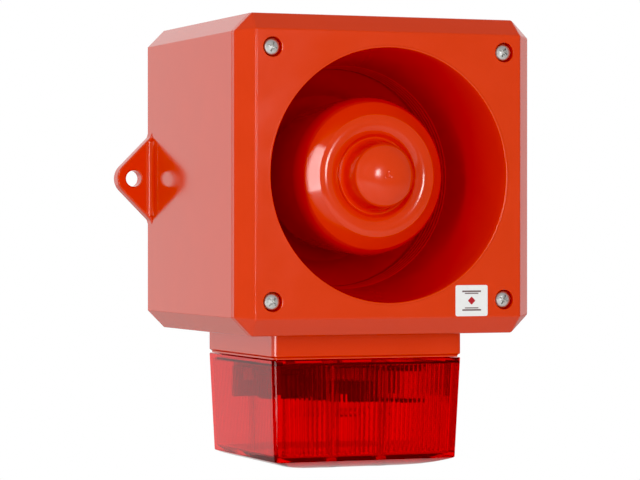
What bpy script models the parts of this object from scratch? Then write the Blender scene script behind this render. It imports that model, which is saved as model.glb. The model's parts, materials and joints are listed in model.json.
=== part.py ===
"""Wall-mounted horn strobe: a square housing, a re-entrant horn with its compression driver in the
front cover, a circuit board behind it, and a flashing beacon on a collar below.

Metres, +Z up. The origin is the centre of the housing's rear face, which lies on the wall. The front
looks along -Y, so a point d behind the front panel is at y = d - HOUSING_DEPTH.
"""
import math

import bmesh
import bpy
from mathutils import Matrix, Vector

MM = 0.001
GAP = 0.3 * MM                      # air left between pieces that rest on each other
CUTTER_MARGIN = 2 * MM              # how far a cutter runs past the face it opens

# Housing and cover
HOUSING_WIDTH = 166 * MM
HOUSING_DEPTH = 152 * MM            # wall to front panel
CORNER_CUT = 9.6 * MM               # 45 degree cut on each long corner
WALL = 3.5 * MM
PANEL_WIDTH = 148.5 * MM            # flat square front, inside the bevel
BEVEL_DEPTH = 9.1 * MM
COVER_DEPTH = 12.05 * MM
COVER_WALL = 3.2 * MM
LEDGE_DEPTH = 16.65 * MM            # inner ledge that the cover gasket lies on
LEDGE_HALF = 76.5 * MM
EDGE_ROUND = 0.5 * MM

# Cover screws, M5 pan heads
SCREW_OFFSET = 65.1 * MM            # from the axis, both ways
COVER_SCREW_HEAD_RADIUS = 4.75 * MM
COVER_SCREW_HEAD = 3.0 * MM
COUNTERBORE_RADIUS = 5.4 * MM
COVER_BOSS_RADIUS = 7.5 * MM
HOUSING_BOSS_RADIUS = 6.5 * MM
INSERT_RADIUS = 3.5 * MM

# Lugs
LUG_HOLE_OFFSET = 93.5 * MM
LUG_HOLE_RADIUS = 4.5 * MM
LUG_TIP_RADIUS = 9.5 * MM
LUG_ROOT_HALF = 23 * MM
LUG_THICKNESS = 8.5 * MM
LUG_FILLET = 3 * MM

# Horn
MOUTH_RADIUS = 66.2 * MM
LIP_OUTER_RADIUS = 67.4 * MM
BELL_WALL = 2.2 * MM
BELL_FLOOR = 100 * MM               # depth of the floor behind the panel
THROAT_FLANGE_RADIUS = 30 * MM
CAP_RADIUS = 42 * MM
CAP_WALL = 2.5 * MM
CAP_WAIST = 41.6 * MM               # outer radius where the crest ring's outside turns into the skirt
CAP_WAIST_DEPTH = 45 * MM
CAP_REAR = 78 * MM
CAP_REAR_RADIUS = 39.5 * MM
CAP_ARC = 105                       # degrees that the crest ring's outside turns through
CAP_FIN_REACH = 36.6 * MM           # just inside the skirt

# Driver
DRIVER_FRONT = 106.1 * MM
COIL_INNER = 13.0 * MM
COIL_OUTER = 14.2 * MM
POLE_RADIUS = 12.4 * MM
CAN_RADIUS = 36.5 * MM
CAN_REAR = 129 * MM

# Circuit board
BOARD_FRONT = 136.4 * MM
BOARD_THICKNESS = 1.6 * MM
BOARD_HALF_X = 70 * MM
BOARD_HALF_Z = 66 * MM
BOARD_SCREW_X = 62 * MM
BOARD_SCREW_Z = 56 * MM
BOARD_SCREWS = ("upper_left", "lower_right")    # the other two pillars only support the board

# Cable entries, M20, in the right wall
ENTRY_DEPTH = 107 * MM
ENTRY_RADIUS = 10 * MM
ENTRY_HEIGHTS = {"upper": 26 * MM, "lower": -26 * MM}
SPOT_FACE_RADIUS = 13.8 * MM        # shallow seat cut round each entry for the seal
SPOT_FACE_DEPTH = 0.5 * MM

# Beacon
BEACON_DEPTH = 81 * MM              # its centre behind the panel
COLLAR_HALF_X = 54 * MM
COLLAR_HALF_Y = 52 * MM
COLLAR_TOP = -83.3 * MM
COLLAR_BOTTOM = -96.4 * MM
LENS_TOP = -96.6 * MM
LENS_BOTTOM = -150.5 * MM
LENS_DOME = -156.3 * MM
LENS_TAPER = 2.3 * MM               # how much each side draws in from top to bottom
DOME_STEPS = ((0.82, 0.5), (0.66, 0.35), (0.5, 0.15))    # each ring's shrink and its share of the drop
LENS_WALL = 2.4 * MM
LENS_SCREW_X = 14.3 * MM
LENS_SCREW_Y = 30 * MM
STROBE_BOARD_TOP = -101 * MM

AXIS_BACK = Vector((0, 1, 0))
AXIS_DOWN = Vector((0, 0, -1))
AXIS_RIGHT = Vector((1, 0, 0))

CORNERS = {
    "upper_left": (-1, 1),
    "upper_right": (1, 1),
    "lower_left": (-1, -1),
    "lower_right": (1, -1),
}

for existing in list(bpy.data.objects):
    bpy.data.objects.remove(existing, do_unlink=True)

PARTS = bpy.data.collections.new("horn_strobe")
CUTTERS = bpy.data.collections.new("cutters")
for collection in (PARTS, CUTTERS):
    bpy.context.scene.collection.children.link(collection)


def at_depth(depth):
    """World y of a point that far behind the front panel."""
    return depth - HOUSING_DEPTH


# ---------------------------------------------------------------- materials

def make_material(name, colour, roughness, metallic=0.0, transmission=0.0):
    material = bpy.data.materials.new(name)
    material.use_nodes = True
    shader = material.node_tree.nodes["Principled BSDF"]
    shader.inputs["Base Color"].default_value = (*colour, 1.0)
    shader.inputs["Roughness"].default_value = roughness
    shader.inputs["Metallic"].default_value = metallic
    shader.inputs["Transmission Weight"].default_value = transmission
    material.diffuse_color = (*colour, 1.0)
    return material


RED_PLASTIC = make_material("red_plastic", (0.72, 0.035, 0.01), 0.2)
RED_LENS = make_material("red_lens", (0.8, 0.01, 0.01), 0.08, transmission=0.8)
STEEL = make_material("stainless_steel", (0.6, 0.6, 0.6), 0.3, metallic=1.0)
ZINC = make_material("zinc_plate", (0.55, 0.56, 0.58), 0.38, metallic=1.0)
BRASS = make_material("brass", (0.72, 0.5, 0.2), 0.35, metallic=1.0)
COPPER = make_material("copper_winding", (0.6, 0.23, 0.1), 0.4, metallic=1.0)
RUBBER = make_material("black_rubber", (0.03, 0.03, 0.03), 0.75)
LABEL_FILM = make_material("label_film", (0.85, 0.84, 0.8), 0.45)
BOARD_GREEN = make_material("board_green", (0.02, 0.15, 0.06), 0.35)
BLACK_PLASTIC = make_material("black_plastic", (0.03, 0.03, 0.03), 0.45)
WHITE_PLASTIC = make_material("white_plastic", (0.8, 0.8, 0.78), 0.4)
BLUE_PLASTIC = make_material("blue_plastic", (0.03, 0.12, 0.5), 0.4)
GREEN_PLASTIC = make_material("green_plastic", (0.05, 0.35, 0.14), 0.4)
FERRITE = make_material("ferrite", (0.09, 0.09, 0.1), 0.6)
DIAPHRAGM_FILM = make_material("diaphragm_film", (0.5, 0.36, 0.16), 0.4)
FLASH_GLASS = make_material("flash_glass", (0.9, 0.92, 0.92), 0.05, transmission=0.9)
RED_WIRE = make_material("red_wire", (0.6, 0.02, 0.02), 0.4)
BLACK_WIRE = make_material("black_wire", (0.02, 0.02, 0.02), 0.4)


# ---------------------------------------------------------------- modelling helpers

def add_object(name, mesh_or_curve, material=None):
    """An object in the parts collection, or among the cutters when it has no material."""
    piece = bpy.data.objects.new(name, mesh_or_curve)
    if material is None:
        CUTTERS.objects.link(piece)
        piece.hide_render = True
        piece.display_type = "WIRE"
    else:
        PARTS.objects.link(piece)
        mesh_or_curve.materials.append(material)
    return piece


def from_bmesh(name, bm, material=None, smooth=False):
    mesh = bpy.data.meshes.new(name)
    bmesh.ops.recalc_face_normals(bm, faces=bm.faces)
    bm.to_mesh(mesh)
    bm.free()
    if smooth:
        mesh.shade_smooth()
        mesh.set_sharp_from_angle(angle=math.radians(35))
    return add_object(name, mesh, material)


def box_bmesh(low, high):
    low = Vector(low)
    high = Vector(high)
    bm = bmesh.new()
    bmesh.ops.create_cube(bm, size=1.0)
    size = high - low
    bmesh.ops.scale(bm, vec=size, verts=bm.verts)
    bmesh.ops.translate(bm, vec=(low + high) / 2, verts=bm.verts)
    return bm


def edges_along(bm, axis_index):
    """The edges whose direction is mostly along one axis."""
    chosen = []
    for edge in bm.edges:
        direction = edge.verts[1].co - edge.verts[0].co
        if abs(direction[axis_index]) > 0.9 * direction.length:
            chosen.append(edge)
    return chosen


def box(name, low, high, material=None, round_axis=None, radius=0.0, segments=1):
    """A box; the four edges along round_axis may be cut or rounded."""
    bm = box_bmesh(low, high)
    if round_axis is not None:
        bmesh.ops.bevel(bm, geom=edges_along(bm, round_axis), offset=radius, segments=segments,
                        profile=0.5, affect="EDGES")
    return from_bmesh(name, bm, material)


def corner_cut_box(name, half, cut, front, back, material=None):
    """An octagonal prism along Y, from one depth behind the panel to another."""
    return box(name, (-half, at_depth(front), -half), (half, at_depth(back), half), material,
               round_axis=1, radius=cut)


def inner_cut(inset):
    """The corner cut that keeps an even wall when an octagon is drawn in by inset."""
    return CORNER_CUT - inset * (2 - math.sqrt(2))


def axis_rotation(axis):
    return Vector((0, 0, 1)).rotation_difference(Vector(axis).normalized()).to_matrix().to_4x4()


def cylinder(name, start, axis, length, radius, material=None, segments=16, end_radius=None):
    bm = bmesh.new()
    place = Matrix.Translation(Vector(start)) @ axis_rotation(axis) @ Matrix.Translation((0, 0, length / 2))
    bmesh.ops.create_cone(bm, cap_ends=True, segments=segments, radius1=radius,
                          radius2=radius if end_radius is None else end_radius, depth=length, matrix=place)
    return from_bmesh(name, bm, material, smooth=True)


def turned(name, profile, material=None, segments=20, start=(0, 0, 0), front=(0, -1, 0)):
    """A solid of revolution. The profile is (radius, height along front) and runs down its outer side."""
    bm = bmesh.new()
    points = [bm.verts.new((radius, 0, height)) for radius, height in profile]
    closed = profile[0][0] > 0 or profile[-1][0] > 0
    for first, second in zip(points, points[1:]):
        bm.edges.new((first, second))
    if closed:
        bm.edges.new((points[-1], points[0]))
    mesh = bpy.data.meshes.new(name)
    bm.to_mesh(mesh)
    bm.free()
    piece = add_object(name, mesh, material)
    piece.matrix_world = Matrix.Translation(Vector(start)) @ axis_rotation(front)
    screw = piece.modifiers.new("turn", "SCREW")
    screw.axis = "Z"
    screw.steps = segments
    screw.render_steps = segments
    screw.use_merge_vertices = True
    screw.merge_threshold = 0.00001
    screw.use_smooth_shade = True
    return piece


def turned_at_depth(name, profile, material=None, segments=20):
    """A solid of revolution on the horn's axis, whose profile is (radius, depth behind the panel)."""
    return turned(name, [(radius, -depth) for radius, depth in profile], material, segments,
                  start=(0, at_depth(0), 0))


def flat_outline(name, points, thickness, place, material=None):
    """A flat outline given thickness: a filled 2D curve, turned into a mesh with its caps welded."""
    curve = bpy.data.curves.new(name, "CURVE")
    curve.dimensions = "2D"
    curve.fill_mode = "BOTH"
    curve.extrude = thickness / 2
    spline = curve.splines.new("POLY")
    spline.points.add(len(points) - 1)
    for target, (x, y) in zip(spline.points, points):
        target.co = (x, y, 0, 1)
    spline.use_cyclic_u = True
    return curve_to_mesh(name, curve, place, material)


def curve_to_mesh(name, curve, place, material=None):
    source = bpy.data.objects.new(name + "_curve", curve)
    bpy.context.scene.collection.objects.link(source)
    source.matrix_world = place
    bpy.context.view_layer.update()
    evaluated = source.evaluated_get(bpy.context.evaluated_depsgraph_get())
    mesh = bpy.data.meshes.new_from_object(evaluated)
    bm = bmesh.new()
    bm.from_mesh(mesh)
    bmesh.ops.remove_doubles(bm, verts=bm.verts, dist=0.00001)
    bmesh.ops.recalc_face_normals(bm, faces=bm.faces)
    bm.to_mesh(mesh)
    bm.free()
    mesh.materials.clear()
    mesh.name = name
    matrix = source.matrix_world.copy()
    bpy.data.objects.remove(source, do_unlink=True)
    piece = add_object(name, mesh, material)
    piece.matrix_world = matrix
    return piece


def wire(name, points, radius, material):
    """A round wire through the given points, smoothed by a Catmull-Rom spline."""
    route = smooth_route([Vector(point) for point in points], 3)
    curve = bpy.data.curves.new(name, "CURVE")
    curve.dimensions = "3D"
    curve.bevel_depth = radius
    curve.bevel_resolution = 2
    curve.use_fill_caps = True
    spline = curve.splines.new("POLY")
    spline.points.add(len(route) - 1)
    for target, point in zip(spline.points, route):
        target.co = (*point, 1)
    return curve_to_mesh(name, curve, Matrix.Identity(4), material)


def smooth_route(points, steps):
    route = []
    for index in range(len(points) - 1):
        before = points[max(index - 1, 0)]
        start = points[index]
        end = points[index + 1]
        after = points[min(index + 2, len(points) - 1)]
        for step in range(steps):
            t = step / steps
            route.append(0.5 * (2 * start + (end - before) * t
                                + (2 * before - 5 * start + 4 * end - after) * t ** 2
                                + (3 * start - before - 3 * end + after) * t ** 3))
    route.append(points[-1])
    return route


def combine(target, other, operation="DIFFERENCE"):
    """Cut or join another solid, which is kept among the cutters."""
    modifier = target.modifiers.new(other.name, "BOOLEAN")
    modifier.operation = operation
    modifier.object = other
    modifier.solver = "EXACT"


def round_edges(piece, width, segments=1, angle=40):
    modifier = piece.modifiers.new("edges", "BEVEL")
    modifier.width = width
    modifier.segments = segments
    modifier.limit_method = "ANGLE"
    modifier.angle_limit = math.radians(angle)


def pan_head_screw(name, seat, axis, head_radius, head_height, shank_radius, length, material, segments=12):
    """A screw whose head's underside is centred on seat and whose shank runs along axis."""
    crown = head_height * 0.35
    profile = [
        (0, head_height),
        (head_radius * 0.75, head_height - crown * 0.5),
        (head_radius, head_height - crown * 1.6),
        (head_radius, 0),
        (shank_radius, 0),
        (shank_radius, -length),
        (0, -length),
    ]
    screw = turned(name, profile, material, segments, start=seat, front=-Vector(axis))
    recess_depth = head_height * 0.55
    top = Vector(seat) - Vector(axis) * (head_height + CUTTER_MARGIN)
    rotation = axis_rotation(axis)
    for index in range(2):
        reach = head_radius * 0.5
        width = head_radius * 0.1
        half = (reach, width) if index == 0 else (width, reach)
        slot = box(f"{name}_slot_{index}", (-half[0], -half[1], 0),
                   (half[0], half[1], recess_depth + CUTTER_MARGIN))
        slot.matrix_world = Matrix.Translation(top) @ rotation
        combine(screw, slot)
    return screw


# ---------------------------------------------------------------- rear housing

def lug_outline(side):
    """Half a lozenge whose tip is round about the fixing hole; (x, z) seen from the front."""
    root_x = HOUSING_WIDTH / 2
    reach = LUG_HOLE_OFFSET - root_x
    distance = math.hypot(reach, LUG_ROOT_HALF)
    tangent = math.atan2(LUG_ROOT_HALF, -reach) - math.acos(LUG_TIP_RADIUS / distance)
    inner_x = root_x - WALL / 2
    points = [(inner_x, -LUG_ROOT_HALF - LUG_FILLET), (root_x, -LUG_ROOT_HALF - LUG_FILLET)]
    points.append((root_x + LUG_FILLET * 0.35, -LUG_ROOT_HALF))
    arc_steps = 6
    for step in range(arc_steps + 1):
        angle = -tangent + 2 * tangent * step / arc_steps
        points.append((LUG_HOLE_OFFSET + LUG_TIP_RADIUS * math.cos(angle), LUG_TIP_RADIUS * math.sin(angle)))
    points.append((root_x + LUG_FILLET * 0.35, LUG_ROOT_HALF))
    points.append((root_x, LUG_ROOT_HALF + LUG_FILLET))
    points.append((inner_x, LUG_ROOT_HALF + LUG_FILLET))
    return [(side * x, z) for x, z in points]


def lug(side, name):
    stand_up = Matrix.Rotation(math.radians(90), 4, "X")
    place = Matrix.Translation((0, -LUG_THICKNESS / 2, 0)) @ stand_up
    return flat_outline(f"{name}_lug", lug_outline(side), LUG_THICKNESS, place)


def add_lugs(housing):
    for name, side in (("left", -1), ("right", 1)):
        combine(housing, lug(side, name), "UNION")
        hole_start = (side * LUG_HOLE_OFFSET, -LUG_THICKNESS - CUTTER_MARGIN, 0)
        hole = cylinder(f"{name}_lug_hole", hole_start, AXIS_BACK, LUG_THICKNESS + 2 * CUTTER_MARGIN,
                        LUG_HOLE_RADIUS)
        combine(housing, hole)


def hollow_housing(housing):
    inner_half = HOUSING_WIDTH / 2 - WALL
    inner_back = HOUSING_DEPTH - WALL
    mouth = corner_cut_box("housing_mouth", inner_half, inner_cut(WALL), 0, LEDGE_DEPTH)
    ledge_inset = HOUSING_WIDTH / 2 - LEDGE_HALF
    neck = corner_cut_box("housing_neck", LEDGE_HALF, inner_cut(ledge_inset), LEDGE_DEPTH - CUTTER_MARGIN,
                          LEDGE_DEPTH + 3 * CUTTER_MARGIN)
    chamber = corner_cut_box("housing_chamber", inner_half, inner_cut(WALL), LEDGE_DEPTH + 3.4 * MM, inner_back)
    for cutter in (mouth, neck, chamber):
        combine(housing, cutter)


def add_screw_bosses(housing):
    """A post in each corner that holds a threaded insert, tied to the cut corner by a rib."""
    front = 17 * MM
    back = 52 * MM
    rib_reach = 17 * MM
    rib_half = 2.5 * MM
    for name, (side_x, side_z) in CORNERS.items():
        centre = (side_x * SCREW_OFFSET, at_depth(front), side_z * SCREW_OFFSET)
        rib = box(f"{name}_boss_rib", (0, 0, -rib_half), (rib_reach, back - front, rib_half))
        turn = Matrix.Rotation(-math.atan2(side_z, side_x), 4, "Y")
        rib.matrix_world = Matrix.Translation(centre) @ turn
        combine(housing, rib, "UNION")
        boss = cylinder(f"{name}_boss", centre, AXIS_BACK, back - front, HOUSING_BOSS_RADIUS, segments=12)
        combine(housing, boss, "UNION")
        bore_start = (centre[0], centre[1] - CUTTER_MARGIN, centre[2])
        bore = cylinder(f"{name}_boss_bore", bore_start, AXIS_BACK, 22 * MM, INSERT_RADIUS + 2 * GAP, segments=10)
        combine(housing, bore)


def add_board_pillars(housing):
    top = BOARD_FRONT + BOARD_THICKNESS + GAP
    length = HOUSING_DEPTH - top - WALL / 2
    for name, (side_x, side_z) in CORNERS.items():
        x = side_x * BOARD_SCREW_X
        z = side_z * BOARD_SCREW_Z
        pillar = cylinder(f"{name}_pillar", (x, at_depth(top), z), AXIS_BACK, length, 3.5 * MM, segments=8)
        combine(housing, pillar, "UNION")
        if name in BOARD_SCREWS:
            hole = cylinder(f"{name}_pillar_hole", (x, at_depth(top - 1 * MM), z), AXIS_BACK, 10 * MM, 1.8 * MM,
                            segments=8)
            combine(housing, hole)


def cut_cable_entries(housing):
    for name, height in ENTRY_HEIGHTS.items():
        start = (HOUSING_WIDTH / 2 - WALL - CUTTER_MARGIN, at_depth(ENTRY_DEPTH), height)
        hole = cylinder(f"{name}_entry_hole", start, AXIS_RIGHT, WALL + 2 * CUTTER_MARGIN,
                        ENTRY_RADIUS + 2 * GAP, segments=20)
        combine(housing, hole)
        seat_start = (HOUSING_WIDTH / 2 - SPOT_FACE_DEPTH, at_depth(ENTRY_DEPTH), height)
        seat = cylinder(f"{name}_entry_seat", seat_start, AXIS_RIGHT, SPOT_FACE_DEPTH + CUTTER_MARGIN,
                        SPOT_FACE_RADIUS, segments=28)
        combine(housing, seat)


def cut_beacon_openings(housing):
    floor_top = -HOUSING_WIDTH / 2 + WALL
    start = (0, at_depth(BEACON_DEPTH), floor_top + CUTTER_MARGIN)
    wire_hole = cylinder("wire_hole", start, AXIS_DOWN, WALL + 2 * CUTTER_MARGIN, 9 * MM, segments=12)
    combine(housing, wire_hole)
    for name, side in (("left", -1), ("right", 1)):
        hole_start = (side * COLLAR_SCREW_X, at_depth(BEACON_DEPTH), floor_top + CUTTER_MARGIN)
        hole = cylinder(f"{name}_collar_screw_hole", hole_start, AXIS_DOWN, WALL + 2 * CUTTER_MARGIN, 2.4 * MM,
                        segments=8)
        combine(housing, hole)


def make_rear_housing():
    front = COVER_DEPTH + GAP
    housing = corner_cut_box("rear_housing", HOUSING_WIDTH / 2, CORNER_CUT, front, HOUSING_DEPTH, RED_PLASTIC)
    hollow_housing(housing)
    add_screw_bosses(housing)
    add_board_pillars(housing)
    add_lugs(housing)
    cut_cable_entries(housing)
    cut_beacon_openings(housing)


def make_screw_inserts():
    front = 17.3 * MM
    length = 11 * MM
    core_radius = 2.35 * MM
    for name, (side_x, side_z) in CORNERS.items():
        start = (side_x * SCREW_OFFSET, at_depth(front), side_z * SCREW_OFFSET)
        profile = [(core_radius, 0), (INSERT_RADIUS, 0), (INSERT_RADIUS, -length), (core_radius, -length)]
        turned(f"screw_insert_{name}", profile, BRASS, 10, start=start)


def make_cover_gasket():
    outer_half = 79.2 * MM
    inner_half = 76.8 * MM
    inset = HOUSING_WIDTH / 2 - outer_half
    front = LEDGE_DEPTH - GAP - 1.9 * MM
    back = LEDGE_DEPTH - GAP
    gasket = corner_cut_box("cover_gasket", outer_half, inner_cut(inset), front, back, RUBBER)
    middle = corner_cut_box("cover_gasket_middle", inner_half, inner_cut(HOUSING_WIDTH / 2 - inner_half),
                            front - CUTTER_MARGIN, back + CUTTER_MARGIN)
    combine(gasket, middle)


def make_cable_plugs():
    """Slotted stopping plugs that close the two cable entries, each on a flat seal."""
    seal_thickness = 1.6 * MM
    head_height = 3.4 * MM
    head_radius = 13 * MM
    thread_length = 8.5 * MM
    for name, height in ENTRY_HEIGHTS.items():
        wall_face = (HOUSING_WIDTH / 2 - SPOT_FACE_DEPTH, at_depth(ENTRY_DEPTH), height)
        seal_profile = [
            (ENTRY_RADIUS + GAP, seal_thickness + GAP),
            (head_radius - 0.5 * MM, seal_thickness + GAP),
            (head_radius - 0.5 * MM, GAP),
            (ENTRY_RADIUS + GAP, GAP),
        ]
        turned(f"entry_seal_{name}", seal_profile, RUBBER, 20, start=wall_face, front=AXIS_RIGHT)
        underside = seal_thickness + 2 * GAP
        plug_profile = [
            (0, underside + head_height),
            (head_radius - 1 * MM, underside + head_height),
            (head_radius, underside + head_height - 1 * MM),
            (head_radius, underside),
            (ENTRY_RADIUS - GAP, underside),
            (ENTRY_RADIUS - GAP, -thread_length),
            (0, -thread_length),
        ]
        plug = turned(f"entry_plug_{name}", plug_profile, BLACK_PLASTIC, 20, start=wall_face, front=AXIS_RIGHT)
        slot_top = wall_face[0] + underside + head_height
        slot = box(f"entry_plug_{name}_slot",
                   (slot_top - 1.6 * MM, wall_face[1] - 9 * MM, height - 1.2 * MM),
                   (slot_top + CUTTER_MARGIN, wall_face[1] + 9 * MM, height + 1.2 * MM))
        combine(plug, slot)


# ---------------------------------------------------------------- front cover

def hull(name, rings, material=None):
    """The convex hull of square rings, each (half width, corner cut, depth behind the panel)."""
    bm = bmesh.new()
    for half, cut, depth in rings:
        for side_x in (-1, 1):
            for side_z in (-1, 1):
                for near_x, near_z in ((cut, 0), (0, cut)):
                    bm.verts.new((side_x * (half - near_x), at_depth(depth), side_z * (half - near_z)))
    bmesh.ops.remove_doubles(bm, verts=bm.verts, dist=0.00001)
    bmesh.ops.convex_hull(bm, input=bm.verts)
    bmesh.ops.dissolve_limit(bm, angle_limit=math.radians(1), verts=bm.verts, edges=bm.edges)
    return from_bmesh(name, bm, material)


def make_front_cover():
    half = HOUSING_WIDTH / 2
    rings = [(PANEL_WIDTH / 2, 0, 0), (half, CORNER_CUT, BEVEL_DEPTH), (half, CORNER_CUT, COVER_DEPTH)]
    cover = hull("front_cover", rings, RED_PLASTIC)
    round_edges(cover, EDGE_ROUND, segments=1, angle=15)
    inner_half = half - WALL
    pocket = hull("cover_pocket", [
        (72.9 * MM, 0, COVER_WALL),
        (inner_half, inner_cut(WALL), 10.1 * MM),
        (inner_half, inner_cut(WALL), COVER_DEPTH + CUTTER_MARGIN),
    ])
    combine(cover, pocket)
    add_cover_tongue(cover)
    for name, (side_x, side_z) in CORNERS.items():
        centre_x = side_x * SCREW_OFFSET
        centre_z = side_z * SCREW_OFFSET
        boss = cylinder(f"{name}_cover_boss", (centre_x, at_depth(COVER_WALL / 2), centre_z), AXIS_BACK,
                        16.7 * MM - COVER_WALL / 2, COVER_BOSS_RADIUS, segments=12)
        combine(cover, boss, "UNION")
        front = (centre_x, at_depth(-CUTTER_MARGIN), centre_z)
        counterbore = cylinder(f"{name}_counterbore", front, AXIS_BACK, CUTTER_MARGIN + 3.9 * MM,
                               COUNTERBORE_RADIUS, segments=16)
        hole = cylinder(f"{name}_cover_hole", front, AXIS_BACK, 22 * MM, 2.7 * MM, segments=8)
        combine(cover, counterbore)
        combine(cover, hole)
    mouth = cylinder("cover_mouth", (0, at_depth(-CUTTER_MARGIN), 0), AXIS_BACK, 4 * CUTTER_MARGIN,
                     LIP_OUTER_RADIUS + GAP, segments=48)
    combine(cover, mouth)
    combine(cover, label_box("label_recess", 0.2 * MM, -CUTTER_MARGIN, LABEL_THICKNESS + GAP))


def add_cover_tongue(cover):
    """The skirt behind the rim that enters the housing and presses on the gasket."""
    outer_half = 79.9 * MM
    tip_half = 79.2 * MM
    inner_half = 76.8 * MM
    back = 14.1 * MM
    root = corner_cut_box("tongue_root", outer_half, inner_cut(HOUSING_WIDTH / 2 - outer_half),
                          10.6 * MM, COVER_DEPTH)
    tip = corner_cut_box("tongue_tip", tip_half, inner_cut(HOUSING_WIDTH / 2 - tip_half), 10.6 * MM, back)
    middle = corner_cut_box("tongue_middle", inner_half, inner_cut(HOUSING_WIDTH / 2 - inner_half), 8 * MM,
                            back + CUTTER_MARGIN)
    combine(tip, root, "UNION")
    combine(tip, middle)
    combine(cover, tip, "UNION")


def make_cover_screws():
    for name, (side_x, side_z) in CORNERS.items():
        seat = (side_x * SCREW_OFFSET, at_depth(3.6 * MM), side_z * SCREW_OFFSET)
        pan_head_screw(f"cover_screw_{name}", seat, AXIS_BACK, COVER_SCREW_HEAD_RADIUS, COVER_SCREW_HEAD,
                       2.0 * MM, 24 * MM, STEEL, segments=16)


LABEL_THICKNESS = 0.3 * MM
LABEL_CENTRE = (46.2 * MM, -65.5 * MM)
LABEL_HALF = (9.25 * MM, 8.15 * MM)


def label_box(name, margin, front, back, material=None):
    half_x = LABEL_HALF[0] + margin
    half_z = LABEL_HALF[1] + margin
    return box(name, (LABEL_CENTRE[0] - half_x, at_depth(front), LABEL_CENTRE[1] - half_z),
               (LABEL_CENTRE[0] + half_x, at_depth(back), LABEL_CENTRE[1] + half_z), material,
               round_axis=1, radius=1.2 * MM + margin, segments=3)


def make_front_label():
    label_box("front_label", 0, 0, LABEL_THICKNESS, LABEL_FILM)


# ---------------------------------------------------------------- horn

def make_horn_bell():
    """The red bowl: nearly straight sides, a conical shoulder and a floor with a hole for the throat."""
    wall = BELL_WALL
    profile = [
        (LIP_OUTER_RADIUS - 0.4 * MM, 0),
        (LIP_OUTER_RADIUS, 0.5 * MM),
        (LIP_OUTER_RADIUS, COVER_WALL + GAP),
        (LIP_OUTER_RADIUS + 4 * MM, COVER_WALL + GAP),
        (LIP_OUTER_RADIUS + 4 * MM, COVER_WALL + GAP + 2.5 * MM),
        (LIP_OUTER_RADIUS, COVER_WALL + GAP + 2.5 * MM),
        (64.3 * MM, 30 * MM),
        (61.7 * MM, 82 * MM + wall / 2),
        (53 * MM, 92 * MM),
        (40 * MM, BELL_FLOOR + 2.5 * MM),
        (15.5 * MM, BELL_FLOOR + 2.5 * MM),
        (15.5 * MM, BELL_FLOOR),
        (38 * MM, BELL_FLOOR),
        (45.5 * MM, 97 * MM),
        (51 * MM, 90 * MM),
        (59.5 * MM, 82 * MM),
        (62.1 * MM, 30 * MM),
        (64.9 * MM, 6 * MM),
        (MOUTH_RADIUS, 0),
    ]
    turned_at_depth("horn_bell", profile, RED_PLASTIC, 36)


def make_horn_throat():
    """The tube that leads sound forward into the cap, with its fixing flange and the cap's fins."""
    tube_front = 36 * MM
    flange_front = BELL_FLOOR + 2.8 * MM
    flange_back = flange_front + 3 * MM
    profile = [
        (19.5 * MM, tube_front),
        (21.5 * MM, tube_front),
        (17 * MM, 60 * MM),
        (15 * MM, 84 * MM),
        (15 * MM, flange_front),
        (THROAT_FLANGE_RADIUS, flange_front),
        (THROAT_FLANGE_RADIUS, flange_back),
        (8 * MM, flange_back),
        (9.5 * MM, 84 * MM),
        (13.5 * MM, 60 * MM),
    ]
    throat = turned_at_depth("horn_throat", profile, RED_PLASTIC)
    fin_half = 1.2 * MM
    for index in range(3):
        fin = box(f"throat_fin_{index}", (12.5 * MM, at_depth(66 * MM), -fin_half),
                  (CAP_FIN_REACH, at_depth(76 * MM), fin_half))
        fin.matrix_world = Matrix.Rotation(math.radians(90 + 120 * index), 4, "Y")
        combine(throat, fin, "UNION")
    bore = turned_at_depth("throat_bore", [
        (0, 55 * MM),
        (14.2 * MM, 55 * MM),
        (13.5 * MM, 60 * MM),
        (9.5 * MM, 84 * MM),
        (0, 84 * MM),
    ])
    combine(throat, bore)


def cap_outer_profile():
    """From the apex of the domed middle, over the crest ring, to the cap's rear edge."""
    dome_radius = 16.7 * MM
    dome_front = 3.3 * MM
    dome_edge = 7.9 * MM
    rise = dome_edge - dome_front
    sphere = (dome_radius ** 2 + rise ** 2) / (2 * rise)
    points = []
    steps = 3
    for step in range(steps + 1):
        radius = dome_radius * step / steps
        points.append((radius, dome_front + sphere - math.sqrt(sphere ** 2 - radius ** 2)))
    points += [(17.4 * MM, 13 * MM), (18.2 * MM, 17.5 * MM), (20.4 * MM, 19.6 * MM)]
    ring_centre = (26.5 * MM, 33 * MM)
    ring_radius = (CAP_RADIUS - ring_centre[0], 15.7 * MM)
    arc_steps = 7
    for step in range(arc_steps + 1):
        angle = math.radians(CAP_ARC - CAP_ARC * step / arc_steps)
        points.append((ring_centre[0] + ring_radius[0] * math.cos(angle),
                       ring_centre[1] - ring_radius[1] * math.sin(angle)))
    points += [(CAP_WAIST, CAP_WAIST_DEPTH), (CAP_REAR_RADIUS, CAP_REAR)]
    return points


def make_horn_cap():
    outer = cap_outer_profile()
    inner = [
        (CAP_REAR_RADIUS - CAP_WALL, CAP_REAR),
        (CAP_WAIST - CAP_WALL, CAP_WAIST_DEPTH),
        (CAP_RADIUS - CAP_WALL, 33 * MM),
        (37 * MM, 25 * MM),
        (32 * MM, 20.6 * MM),
        (27 * MM, 19.9 * MM),
        (23.3 * MM, 21.6 * MM),
        (20.5 * MM, 23 * MM),
        (17 * MM, 22 * MM),
        (14.8 * MM, 11 * MM),
        (8 * MM, 7.3 * MM),
        (0, 6.3 * MM),
    ]
    turned_at_depth("horn_cap", outer + inner, RED_PLASTIC, 30)


# ---------------------------------------------------------------- compression driver

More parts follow.
